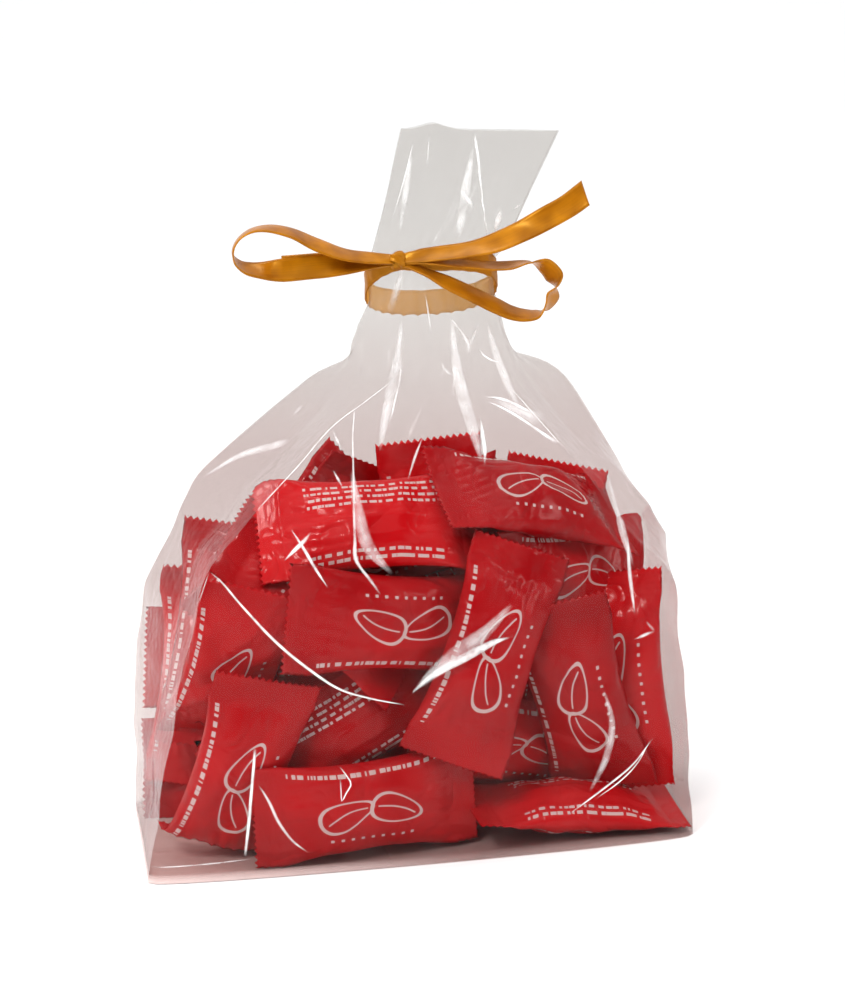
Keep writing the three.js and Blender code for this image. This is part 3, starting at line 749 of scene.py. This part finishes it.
# %% Places of the sachets
HEAP = (
    (-14.1, -25.6, 14.9, 2, -1, 8, 12, 12),
    (-46.6, -21.6, 23.7, 15, -73, 1, 72, 0),
    (-46.6, -12.5, 49.1, 30, -72, -11, 6, 10),
    (-23, -14.6, 66.4, -34, 52, 30, 0, 4),
    (-4.9, -23.4, 61.9, -5, -170, 18, 14, 16),
    (18.2, -26.8, 52.3, -5, -68, 6, 12, 10),
    (43.5, -17.9, 36.2, 16, -103, -12, 8, 0),
    (56.4, -8.8, 37.1, -4, -96, -28, 14, 20),
    (42.4, -16.5, 6.5, 81, 136, -132, 0, 0),
    (-8.8, -15.7, 86.1, 35, -180, 180, -16, -36),
    (-27.1, 1.9, 74.4, -16, -42, 7, 10, 12),
    (34.6, -7, 87.3, -50, 26, 42, 14, 14),
    (38, 10.3, 64.4, -1, -75, 1, 0, 10),
    (11.2, 9.4, 73.2, 9, -93, -1, 0, 10),
    (-47, 6.4, 53.6, -18, -82, -14, 0, -8),
    (-51.2, 14.7, 39.7, -10, -83, -13, 10, -10),
    (-37, 23.2, 40.6, 0, 5, -11, -8, 0),
    (-39.5, 15.8, 13.5, -15, 0, -9, -6, 0),
    (-15.9, -14.9, 33.9, 8, -152, 180, -12, -14),
    (45.3, -3.1, 65.7, -5, 6, 38, 10, -8),
    (28.5, -4.6, 21.7, 10, 17, 13, 10, -8),
    (58.2, 10.3, 29.8, -3, -90, 37, 8, 12),
    (9.7, 26.6, 16.6, 2, 175, -177, 8, -6),
    (39.9, 21, 16.8, -5, -177, -173, 6, 8),
    (4.2, 19.9, 44.4, 1, -111, 178, -10, 8),
    (36, 23.2, 46.1, -13, -77, 175, 8, -10),
    (-17.9, 17.3, 72.4, -19, -121, 175, 8, 8),
    (-26, -1.6, 14.2, 4, 0, -1, 0, 0),
    (13.6, 10.2, 14.2, 2, -180, -179, 0, 0),
    (-11.9, 1, 37.6, 10, -17, -11, 0, 0),
    (24.3, 2.1, 39.9, -6, -103, -169, 0, 0),
    (-10.6, 7.9, 56.7, -4, 157, 169, 0, 0),
    (1.2, -2.8, 78.8, -2, -14, 4, 0, 0),
)
PLAIN_FROM = 27  # rows from here on lie in the middle of the heap, where no side shows them
# a wrap nearer to the film than the first is pressed back, but never nearer than the second
FILM_NEAR, FILM_LEAST = 0.9 * MM, 0.35 * MM
PRESSED_REACH = 1.2 * MM


def pressed_inside(places):
    """Flattens whatever would reach the film against its inner side."""
    for i, place in enumerate(places):
        hit, normal, _, _ = outer.find_nearest(Vector(place))
        depth = -(Vector(place) - hit).dot(normal)
        if depth < FILM_NEAR:
            pressed = (FILM_NEAR - FILM_LEAST) * math.exp((depth - FILM_NEAR) / PRESSED_REACH)
            places[i] = hit - normal * (FILM_LEAST + pressed)
    return places


def place_wrap(row, pattern, rng):
    x, y, z, lean, turn, swing, bend_left, bend_right = row
    flat = np.empty(len(pattern.vertices) * 3, np.float32)
    pattern.vertices.foreach_get("co", flat)
    shaped = shape_wrap(flat.reshape(-1, 3).astype(float), rng, (bend_left, bend_right))
    spin = np.array(Euler([math.radians(a) for a in (lean, turn, swing)], "YXZ").to_matrix())
    return pressed_inside((shaped @ spin.T + np.array([x, y, z])) * MM)


rng = np.random.default_rng(23)
wraps = []
for number, row in enumerate(HEAP):
    mesh = (plain_wrap if number >= PLAIN_FROM else fine_wrap).copy()
    mesh.vertices.foreach_set("co", place_wrap(row, mesh, rng).astype(np.float32).ravel())
    tone = mesh.attributes.new("tone", "FLOAT", "POINT")
    tone.data.foreach_set("value", np.full(len(mesh.vertices), rng.uniform(0, 1), np.float32))
    one = bpy.data.objects.new("wrap", mesh)
    bpy.context.collection.objects.link(one)
    wraps.append(one)
bpy.context.view_layer.update()
sachets = wraps[0]
with bpy.context.temp_override(
        active_object=sachets, selected_objects=wraps, selected_editable_objects=wraps):
    bpy.ops.object.join()
sachets.name = sachets.data.name = "sachets"
for spare in (fine_wrap, plain_wrap):
    bpy.data.meshes.remove(spare)
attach(sachets, "root")
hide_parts("bag")
print("sachets", len(HEAP), "triangles", triangles(sachets.data))

# %% [markdown]
# The wrap is metallised polypropylene printed red from behind, so its colour sits under a glossy skin. A
# white motif of two almonds and a row of dots is printed in the middle, and a broken white rule runs along
# one edge. The print is drawn by arithmetic on the pattern's own lengths: a UV of 0.01 is a millimetre. On
# the back, rows of short rules take the place of the motif. Numbers in the print are millimetres.

# %% Printed wrap material
ALMOND_SPREAD, ALMOND_TILT = 6.6, math.radians(24)  # each printed almond from the wrap's middle
ALMOND_HALF_LENGTH, ALMOND_HALF_WIDTH, ALMOND_TAPER = 7.2, 3.9, 0.055
GRAIN_BOW, GRAIN_SHIFT, GRAIN_HALF_WIDTH = 0.03, 0.5, 0.22
DOT_HALF_SPACING, DOT_HALF_WIDTH, DOT_ROW, DOT_ROW_END = 1.3, 0.42, -8.2, 11.0
FRONT_RULES = ((11.6, 3.7, 0.55, 21.0),)  # (place across the wrap, seed, half width, half length)
BACK_RULES = tuple((place, seed, 0.42, 17.0) for place, seed in (
    (-10.4, 11.3), (-8.4, 5.1), (-6.4, 17.9), (-4.4, 29.3), (10.2, 41.7), (12.0, 53.3)))


def printed_almond(tree, flat, centre, angle):
    """Outline of an almond about 14 mm long with a grain line, as 0 or 1."""
    turned = add(tree, "Mapping", {"Vector": flat, "Location": (centre, 0, 0), "Rotation": (0, 0, angle)},
                 vector_type="TEXTURE")
    length, width = add(tree, "SeparateXYZ", (turned,)).outputs[:2]
    taper = add(tree, "Math", (length, ALMOND_TAPER, 1.0), operation="MULTIPLY_ADD")
    tapered = add(tree, "Math", (width, taper), operation="MULTIPLY")
    long_share = add(tree, "Math", (length, ALMOND_HALF_LENGTH), operation="DIVIDE")
    wide_share = add(tree, "Math", (tapered, ALMOND_HALF_WIDTH), operation="DIVIDE")
    long_square = add(tree, "Math", (long_share, long_share), operation="MULTIPLY")
    both = add(tree, "Math", (wide_share, wide_share, long_square), operation="MULTIPLY_ADD")
    ring = add(tree, "Math", (both, 1.0, 0.13), operation="COMPARE")
    inside = add(tree, "Math", (both, 0.6), operation="LESS_THAN")
    bow = add(tree, "Math", (length, length), operation="MULTIPLY")
    bowed = add(tree, "Math", (bow, GRAIN_BOW, width), operation="MULTIPLY_ADD")
    line = add(tree, "Math", (bowed, GRAIN_SHIFT, GRAIN_HALF_WIDTH), operation="COMPARE")
    return add(tree, "Math", (inside, line, ring), operation="MULTIPLY_ADD")


def printed_dots(tree, u, v):
    """A row of square dots under the almonds."""
    beside = add(tree, "Math", (u, DOT_HALF_SPACING), operation="PINGPONG")
    dot = add(tree, "Math", (beside, DOT_HALF_WIDTH), operation="LESS_THAN")
    row = add(tree, "Math", (v, DOT_ROW, DOT_HALF_WIDTH), operation="COMPARE")
    dots = add(tree, "Math", (dot, row), operation="MULTIPLY")
    end = add(tree, "Math", (u, 0.0, DOT_ROW_END), operation="COMPARE")
    return add(tree, "Math", (dots, end), operation="MULTIPLY")


def printed_rule(tree, u, v, place, seed, half_width, half_length):
    """A broken rule: dashes of uneven length at a distance across the wrap."""
    run = add(tree, "Math", (u, 0.75, seed), operation="MULTIPLY_ADD")
    uneven = add(tree, "TexNoise", {"W": run, "Scale": 1.0, "Detail": 1.0}, noise_dimensions="1D")
    dash = add(tree, "Math", (uneven, 0.47), operation="GREATER_THAN")
    row = add(tree, "Math", (v, place, half_width), operation="COMPARE")
    dashes = add(tree, "Math", (dash, row), operation="MULTIPLY")
    end = add(tree, "Math", (u, 0.0, half_length), operation="COMPARE")
    return add(tree, "Math", (dashes, end), operation="MULTIPLY")


def wrap_print(tree):
    """White ink of both sides as 0 or 1, from the wrap's own UV map."""
    uv = add(tree, "SeparateXYZ", (add(tree, "UVMap", uv_map="Print"),))
    middle = -PRINT_SCALE / 2
    whole = add(tree, "Math", (uv.outputs["X"], PRINT_SCALE, middle), operation="MULTIPLY_ADD")
    on_back = add(tree, "Math", (whole, PRINT_SCALE / 2), operation="GREATER_THAN")
    u = add(tree, "Math", (on_back, -PRINT_SCALE, whole), operation="MULTIPLY_ADD")
    v = add(tree, "Math", (uv.outputs["Y"], PRINT_SCALE, middle), operation="MULTIPLY_ADD")
    flat = add(tree, "CombineXYZ", (u, v))
    front = [printed_almond(tree, flat, side * ALMOND_SPREAD, -side * ALMOND_TILT) for side in (-1, 1)]
    front += [printed_dots(tree, u, v)] + [printed_rule(tree, u, v, *rule) for rule in FRONT_RULES]
    back = [printed_rule(tree, u, v, *rule) for rule in BACK_RULES]
    sides = []
    for marks in (front, back):
        ink = marks[0]
        for mark in marks[1:]:
            ink = add(tree, "Math", (ink, mark), operation="MAXIMUM")
        sides.append(ink)
    return add(tree, "Mix", {0: on_back, 2: sides[0], 3: sides[1]}, data_type="FLOAT")


def wrap_material():
    material, tree = new_material("printed_metallised_wrap")
    place = add(tree, "TexCoord").outputs["Object"]
    # the print's tone drifts over about 25 mm, and differs from sachet to sachet
    drift = add(tree, "TexNoise", {"Vector": place, "Scale": 40.0, "Detail": 2.0})
    tone = add(tree, "Attribute", attribute_name="tone").outputs["Fac"]
    own = add(tree, "Math", (tone, 0.4), operation="MULTIPLY")
    shade = add(tree, "Math", (drift, 0.6, own), operation="MULTIPLY_ADD")
    red = add(tree, "ValToRGB", (shade,))
    red.color_ramp.elements[0].position, red.color_ramp.elements[0].color = 0.25, linear("#B20E17")
    red.color_ramp.elements[1].position, red.color_ramp.elements[1].color = 0.75, linear("#E8141D")
    ink = add(tree, "Math", (wrap_print(tree), 0.9), operation="MULTIPLY")
    colour = add(tree, "Mix", {0: ink, 6: red, 7: linear("#F1E6E4")}, data_type="RGBA")
    # fine crinkle of the thin wrap, about 1.5 mm
    crinkle = add(tree, "TexNoise", {"Vector": place, "Scale": 650.0, "Detail": 3.0})
    fine = add(tree, "Bump", {"Height": crinkle, "Strength": 0.25, "Distance": 0.3 * MM})
    # folds of the squeezed wrap, about 10 mm apart, that meet in sharp lines
    squeeze = add(tree, "TexNoise", {"Vector": place, "Scale": 95.0, "Detail": 1.5, "Distortion": 0.8})
    slope = add(tree, "Math", (squeeze, 0.5), operation="SUBTRACT")
    folds = add(tree, "Math", (slope,), operation="ABSOLUTE")
    bump = add(tree, "Bump", {"Height": folds, "Strength": 0.8, "Distance": 2.4 * MM, "Normal": fine})
    worn = add(tree, "MapRange", (crinkle, 0.3, 0.7, 0.1, 0.2))
    surface = add(tree, "BsdfPrincipled", {
        "Base Color": colour.outputs[2], "Roughness": worn, "Normal": bump, "IOR": 1.45,
        "Specular IOR Level": 0.24, "Coat Weight": 0.12, "Coat Roughness": 0.06})
    add(tree, "OutputMaterial", (surface,))
    return material


sachets.data.materials.append(wrap_material())

# %% [markdown]
# The ribbon is 6 mm double-faced satin, tied in a bow with one long tail. Two loops and two tails leave a
# small knot, and one turn grips the neck. The stations of each strand give the middle of the ribbon and
# the vector from its back edge to its front edge, in millimetres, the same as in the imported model. They are
# joined by a smooth curve, and a thin crowned section is lofted along it.

# %% Sizes and route of the ribbon
RIBBON_WIDTH = 6.0
RIBBON_THICKNESS = 0.3
RIBBON_GAP = 0.42
KNOT_CENTRE = np.array([1.2, -7.4, 151.4])
KNOT_SIZE = np.array([3.6, 3.8, 5.0])
LEFT_LOOP = ((1.2, -7.9, 151.6, -0.3, -1, -2.2), (-4.9, -9.3, 152.5, -0.5, -4, -2.1),
    (-12.5, -10.5, 153.9, -1.7, -5.4, -2), (-19.7, -11, 156.9, -1.9, -5.3, -2),
    (-25.8, -11.5, 160.1, -1.5, -5.6, -1.4), (-31.8, -12, 161.6, -1, -5.8, -0.9),
    (-36, -12, 161.1, -0.3, -6, -0.2), (-39, -12, 159.1, 0, -5.9, 0.8),
    (-40.4, -12, 156.2, -0.2, -5.9, 1.3), (-39.5, -12, 153.7, -1.7, -5.8, 0.1),
    (-37.1, -11.5, 152, -1.7, -5.4, -2), (-33.4, -11, 151.2, -1.2, -4.8, -3.4),
    (-27.6, -10.5, 150.9, -0.5, -2, -5.6), (-19.6, -10, 151.2, -0.5, -1.9, -5.7),
    (-12, -9.3, 151.2, -0.6, -3.1, -4.4), (-5.6, -8.6, 151.4, -0.6, -3, -2.9),
    (1.2, -7.5, 151.3, -0.3, -1, -2))
LEFT_TAIL = ((1.2, -7.3, 151.3, -0.3, -0.8, -2), (-5.5, -7.9, 151.4, -0.6, -2.2, -3.6),
    (-11.8, -8.2, 151.4, -0.7, -3.5, -4.3), (-19.4, -8.8, 151.5, -0.5, -1.9, -5.7),
    (-28.4, -9.4, 151.4, -0.5, -2, -5.6))
RIGHT_TAIL = ((1.4, -7.8, 151.7, -0.3, -0.9, -2), (9, -10.2, 152.8, -0.7, -3.4, -3.1),
    (17.6, -12, 153.7, -0.6, -4.4, -3.1), (23.8, -13, 154.9, 0.4, -4.6, -3.9),
    (31.4, -13.5, 157.7, 1.5, -3.8, -4.4), (39.1, -13.5, 161.3, 2.7, -1.9, -5),
    (43.8, -13.3, 163.6, 3.4, -1.6, -4.7), (48.4, -13, 166.6, 1.5, -2.3, -6))
RIGHT_LOOP = ((1.4, -7.6, 151.5, -0.3, -1, -1.8), (9, -9.8, 151.1, -0.7, -4.2, -1.1),
    (15.1, -11, 150.6, -0.9, -5.3, -1.6), (23.2, -11.4, 149.4, -1, -5.8, -1.2),
    (29.1, -11.4, 149.2, -1, -5.8, -1.2), (34.3, -11.2, 149.7, -1, -5.9, 0.4),
    (38.1, -11, 148.5, 1.4, -4.5, 3.7), (40.4, -11, 145.8, 3.2, -4.5, 2.3),
    (41.1, -11, 143.3, -0.4, -5.8, 1.3), (40, -11, 140.8, -3.7, -4.3, 2),
    (38.4, -11.2, 138.1, -1.8, -5.3, 2.1), (35.7, -11.8, 136.5, -0.5, -5.9, -1),
    (32.2, -12.4, 136.5, -1.2, -5.5, -2.1), (28.6, -12.8, 137.5, -1.7, -5.1, -2.6),
    (25.3, -13, 139.2, -2.2, -4.9, -2.6), (18.6, -12.8, 142.8, -2.7, -4.8, -2.3),
    (12.5, -11.8, 146, -2.3, -4.2, -2), (7.7, -10.2, 148.5, -1.4, -3.6, -1.2),
    (1.4, -7.5, 151.2, -0.3, -1, -1.6))
STRANDS = ((LEFT_LOOP, 0.22), (LEFT_TAIL, 0.15), (RIGHT_TAIL, 0.25), (RIGHT_LOOP, 0.22))  # with the crown
STRAND_STEPS = 8  # points from one station to the next
KNOT_FOLD = (  # one fold of the winding across the knot's front
    (-1.0, -8.9, 152.4, -0.5, -0.3, -1.6), (0.1, -9.5, 152.3, -0.7, -0.4, -1.7),
    (1.2, -9.75, 151.8, -1.1, -0.4, -1.5), (1.9, -9.6, 150.8, -1.3, -0.3, -1.0),
    (2.1, -9.0, 149.7, -1.3, -0.2, -0.5))
KNOT_FOLD_STEPS, KNOT_FOLD_CROWN = 5, 0.2


def centripetal(stations, steps):
    """Points on a centripetal Catmull-Rom curve through the stations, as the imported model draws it."""
    stations = np.array(stations, float)
    ghosts = np.vstack([2 * stations[0] - stations[1], stations, 2 * stations[-1] - stations[-2]])
    result = []
    for i in range(len(stations) - 1):
        p0, p1, p2, p3 = ghosts[i:i + 4]
        gaps = [max(float(np.sum((b - a) ** 2)) ** 0.25, 1e-4) for a, b in ((p0, p1), (p1, p2), (p2, p3))]
        m1 = (p1 - p0) / gaps[0] - (p2 - p0) / (gaps[0] + gaps[1]) + (p2 - p1) / gaps[1]
        m2 = (p2 - p1) / gaps[1] - (p3 - p1) / (gaps[1] + gaps[2]) + (p3 - p2) / gaps[2]
        m1, m2 = m1 * gaps[1], m2 * gaps[1]
        for t in np.arange(steps) / steps:
            result.append(p1 + m1 * t + (-3 * p1 + 3 * p2 - 2 * m1 - m2) * t ** 2
                          + (2 * p1 - 2 * p2 + m1 + m2) * t ** 3)
    result.append(stations[-1])
    return np.array(result)

# %% [markdown]
# A ribbon isn't a flat plank: it is a little crowned across, its woven edges are a touch thicker, and it
# ripples slightly along its length. Its section has nine points on each face.

# %% Loft the strands
FACE_POINTS = 9
EDGE_THICKER = 0.35
RIPPLE = 0.07


def strand_sections(stations, steps, crown):
    """Rings of one strand, and the length along it at each."""
    line = centripetal([s[:3] for s in stations], steps)
    turn = centripetal([s[3:] for s in stations], steps)
    sections, lengths = [], [0.0]
    across = np.linspace(-0.5, 0.5, FACE_POINTS)
    half_thickness = (1 + EDGE_THICKER * (np.abs(across) > 0.45)) * RIBBON_THICKNESS / 2
    for i, (middle, width, ahead) in enumerate(zip(line, turn, np.gradient(line, axis=0))):
        normal = np.cross(ahead, width)
        normal /= np.linalg.norm(normal) + 1e-9
        if i:
            lengths.append(lengths[-1] + float(np.linalg.norm(line[i] - line[i - 1])))
        bow = crown * (1 - 4 * across ** 2) + RIPPLE * np.sin(lengths[-1] * 0.55) * np.sin(across * 5)
        faces = [middle + across[::side, None] * width + (bow + side * half_thickness)[::side, None] * normal
                 for side in (1, -1)]
        sections.append(np.vstack(faces) * MM)
    return sections, np.array(lengths) * MM


def round_section(face_points):
    """Distance across the ribbon of each point round its section, for the satin's lines."""
    face = np.linspace(0, RIBBON_WIDTH, face_points)
    return np.concatenate([face, face[::-1], face[:1]]) * MM


def lay_strand(stations, steps, crown):
    sections, lengths = strand_sections(stations, steps, crown)
    grid = loft(ribbon_bm, sections, caps="both")
    unwrap_loft(ribbon_bm, grid, lengths, round_section(FACE_POINTS))
    print("strand", round(float(lengths[-1]) / MM), "mm long")


ribbon_bm = bmesh.new()
for stations, crown in STRANDS:
    lay_strand(stations, STRAND_STEPS, crown)

# %% [markdown]
# The turn round the neck is the same ribbon, pulled tight, so it creases where it grips the pleats and
# narrows under the knot. It is lofted round the neck and its ends are bridged into one closed band. Behind
# the neck its lower edge is ruffled by the pleats.

# %% Turn round the neck
BAND_STEPS, BAND_POINTS = 120, 7
BAND_RADIUS = 12 * MM  # of a circle about as long as the oval
BAND_INSIDE, BAND_OUTSIDE = 0.15, 0.45  # its two faces, past the ribbon's gap to the neck
BAND_CREASE = 0.14
PINCH, PINCH_REACH = 0.4, 5  # how much narrower it is under the knot
RUFFLE, RUFFLES = 0.5, 31


def band_section(angle):
    x_part, y_part = flattened(math.cos(angle)), flattened(math.sin(angle))
    from_knot = NECK_CENTRE + NECK_HALF_WIDTH * x_part - KNOT_CENTRE[0]
    front = y_part < 0
    width = RIBBON_WIDTH * (1 - PINCH * math.exp(-(from_knot / PINCH_REACH) ** 2) if front else 1)
    points = []
    for side in (1, -1):
        for k in range(BAND_POINTS):
            height = (k / (BAND_POINTS - 1) - 0.5) * side
            ruffle = 0 if front else RUFFLE * max(0, math.sin(angle * RUFFLES)) * (0.5 - height)
            crease = BAND_CREASE * math.sin(angle * 23 + height * 4) * math.cos(angle * 7 + 1)
            out = RIBBON_GAP + (BAND_OUTSIDE if side > 0 else BAND_INSIDE) + crease
            x = NECK_CENTRE + (NECK_HALF_WIDTH + out) * x_part
            y = (NECK_HALF_DEPTH + out) * y_part
            z = NECK_HEIGHT - NECK_TILT * y + height * width - ruffle
            points.append((x * MM, y * MM, z * MM))
    return points


grid = loft(ribbon_bm, [band_section(2 * math.pi * i / BAND_STEPS) for i in range(BAND_STEPS)])
bmesh.ops.bridge_loops(ribbon_bm, edges=[e for e in ribbon_bm.edges if e.is_boundary])
band_lengths = np.linspace(0, 2 * math.pi * BAND_RADIUS, BAND_STEPS)
unwrap_loft(ribbon_bm, grid, band_lengths, round_section(BAND_POINTS))
print("strands and band", len(ribbon_bm.faces), "faces")

# %% [markdown]
# The knot is the ribbon wound once over the strands. It is a short barrel, furrowed along the winding, with
# one bright fold lying across its front.

# %% Knot
KNOT_SIDES, KNOT_RINGS = 24, 19
KNOT_END = 0.12  # angle from the barrel's pole at which its end cap closes it
KNOT_FURROWS, FURROW_DEPTH = 3, 0.09


def knot_section(share):
    """Ring round the x axis at a share of the knot's width."""
    round_off = math.sqrt(max(0.0, 1 - (2 * share - 1) ** 2)) ** 0.55
    furrow = 1 - FURROW_DEPTH * math.cos(share * 2 * math.pi * KNOT_FURROWS) ** 2
    ring = []
    for k in range(KNOT_SIDES):
        angle = 2 * math.pi * k / KNOT_SIDES
        size = round_off * furrow * (1 + 0.05 * math.sin(3 * angle + share * 4))
        place = ((share - 0.5) * KNOT_SIZE[0] + 0.25 * math.sin(angle),
                 KNOT_SIZE[1] / 2 * size * math.cos(angle), KNOT_SIZE[2] / 2 * size * math.sin(angle))
        ring.append((KNOT_CENTRE + place) * MM)
    return ring


shares = 0.5 - 0.5 * np.cos(np.linspace(KNOT_END, math.pi - KNOT_END, KNOT_RINGS))
grid = loft(ribbon_bm, [knot_section(s) for s in shares], caps="both")
unwrap_loft(ribbon_bm, grid, shares * 4 * MM, np.linspace(0, 14, KNOT_SIDES + 1) * MM)
lay_strand(KNOT_FOLD, KNOT_FOLD_STEPS, KNOT_FOLD_CROWN)
bmesh.ops.recalc_face_normals(ribbon_bm, faces=ribbon_bm.faces)
for face in ribbon_bm.faces:
    face.smooth = len(face.verts) == 4

# %% [markdown]
# Satin is polyester woven so that long threads float on its face. They lie along the ribbon, so light
# spreads across them: the highlight is stretched sideways and slides as the ribbon turns. Anisotropy turned
# to the ribbon's own UV direction gives that, and a fine line every 0.3 mm gives the threads. Behind the
# neck the ribbon is painted paler and lets more light through, which paints in the pale look that the film's
# haze gives the part of it seen through the bag.

# %% Satin material
def satin_material():
    material, tree = new_material("woven_polyester_satin")
    stretch = add(tree, "Mapping", {"Vector": add(tree, "UVMap", uv_map="Lengths"), "Scale": (60, 3300, 1)})
    threads = add(tree, "TexNoise", {"Vector": stretch, "Scale": 1.0, "Detail": 2.0})
    bump = add(tree, "Bump", {"Height": threads, "Strength": 0.3, "Distance": 0.06 * MM})
    place = add(tree, "TexCoord").outputs["Object"]
    cloud = add(tree, "TexNoise", {"Vector": place, "Scale": 150.0, "Detail": 2.0})
    both = add(tree, "Math", (threads, 0.35, cloud), operation="MULTIPLY_ADD")
    dye = add(tree, "ValToRGB", (both,))
    dye.color_ramp.elements[0].position, dye.color_ramp.elements[0].color = 0.45, linear("#7E4402")
    dye.color_ramp.elements[1].position, dye.color_ramp.elements[1].color = 0.9, linear("#B87408")
    surface = add(tree, "BsdfPrincipled", {
        "Base Color": dye, "Roughness": 0.27, "IOR": 1.55, "Specular IOR Level": 0.85,
        "Specular Tint": linear("#FFC65A"), "Anisotropic": 0.6, "Sheen Weight": 0.15, "Sheen Roughness": 0.4,
        "Sheen Tint": linear("#FFC870"), "Normal": bump,
        "Tangent": add(tree, "Tangent", direction_type="UV_MAP", uv_map="Lengths")})
    depth = add(tree, "SeparateXYZ", (place,)).outputs["Y"]
    # behind the neck a paler colour and more translucency paint in the veiled look of the band seen through
    # the film
    behind = add(tree, "MapRange", (depth, 0.0, 4 * MM, 0.0, 1.0))
    painted_pale_behind = add(tree, "Mix", {0: behind, 6: linear("#FFC873"), 7: linear("#FFDFA6")}, data_type="RGBA")
    through = add(tree, "BsdfTranslucent", {"Color": painted_pale_behind.outputs[2]})
    share = add(tree, "MapRange", (behind, 0.0, 1.0, 0.24, 0.8))
    add(tree, "OutputMaterial", (add(tree, "MixShader", (share, surface, through)),))
    return material


piece(ribbon_bm, "satin_ribbon", [satin_material()], "ribbon")

# %% [markdown]
# The bag was lit for a catalogue: white behind, and soft lamps that leave glossy streaks on the film beside
# the white ones painted in its creases. A wide pale floor runs on past the camera's view, so no horizon shows.
# The world is bright behind the bag and dim on the camera's side, because a white wall there would be mirrored
# in the film and veil what lies behind it. A very wide sun stands for the light of a white ceiling. The small
# square key lamp gives the sharp highlights, and a fill lamp, a strip and a top lamp give the long ones.

# %% Floor, world and lamps
FLOOR_RADIUS, FLOOR_TOP = 14, -0.2 * MM  # the floor stays just clear of the base
AIM = (0, 0, 0.08)
SOFT_BOXES = (  # (name, place, width and height in metres, watts)
    ("key", (-0.45, -0.6, 0.75), 0.22, 0.22, 5.5), ("fill", (0.8, -0.45, 0.5), 0.12, 0.4, 1.6),
    ("strip", (-0.7, 0.15, 0.35), 0.12, 0.7, 1.2), ("top", (0.1, 0.15, 0.95), 0.5, 0.3, 1.5))


def floor_material():
    material, tree = new_material("matt_white_paper")
    place = add(tree, "TexCoord").outputs["Object"]
    fibre = add(tree, "TexNoise", {"Vector": place, "Scale": 900.0, "Detail": 2.0})
    bump = add(tree, "Bump", {"Height": fibre, "Strength": 0.05, "Distance": 0.1 * MM})
    surface = add(tree, "BsdfPrincipled", {
        "Base Color": linear("#F3F3F3"), "Roughness": 0.9, "Specular IOR Level": 0.2, "Normal": bump})
    add(tree, "OutputMaterial", (surface,))
    return material


floor_bm = bmesh.new()
bmesh.ops.create_circle(floor_bm, cap_ends=True, segments=96, radius=FLOOR_RADIUS)
bmesh.ops.translate(floor_bm, verts=floor_bm.verts, vec=(0, 0, FLOOR_TOP))
floor = piece(floor_bm, "floor", [floor_material()])

world = bpy.data.worlds.new("studio")
world.use_nodes = True
sky = world.node_tree
sky.nodes.clear()
direction = add(sky, "SeparateXYZ", (add(sky, "TexCoord").outputs["Generated"],))
# the side the camera stands on is dim, so the film's front doesn't mirror a white wall
room = add(sky, "MapRange", (direction.outputs["Y"], -0.6, 0.9, 0.12, 0.9))
horizon = add(sky, "MapRange", (direction.outputs["Z"], 0.05, 0.2, 1.0, 0.0))
level = add(sky, "Math", (room, horizon), operation="MAXIMUM")
add(sky, "OutputWorld", (add(sky, "Background", {"Color": linear("#FFFFFF"), "Strength": level}),))
bpy.context.scene.world = world


def lamp(name, kind, place, aim, strength):
    made = bpy.data.objects.new(name, bpy.data.lights.new(name, kind))
    made.location = place
    made.rotation_euler = (Vector(aim) - Vector(place)).to_track_quat("-Z", "Y").to_euler()
    made.data.energy = strength
    bpy.context.collection.objects.link(made)
    return made.data


lamp("sky_light", "SUN", (0, 0, 0), (0.25, 0.3, -1.0), 2.3).angle = math.radians(100)
for name, place, width, height, watts in SOFT_BOXES:
    box = lamp(name, "AREA", place, AIM, watts)
    box.shape, box.size, box.size_y = "RECTANGLE", width, height

scene = bpy.context.scene
scene.view_settings.view_transform = "Standard"
scene.cycles.transparent_max_bounces = 16  # a line of sight through the bag crosses many thin walls
scene.cycles.max_bounces = 4
scene.cycles.diffuse_bounces = scene.cycles.glossy_bounces = 2
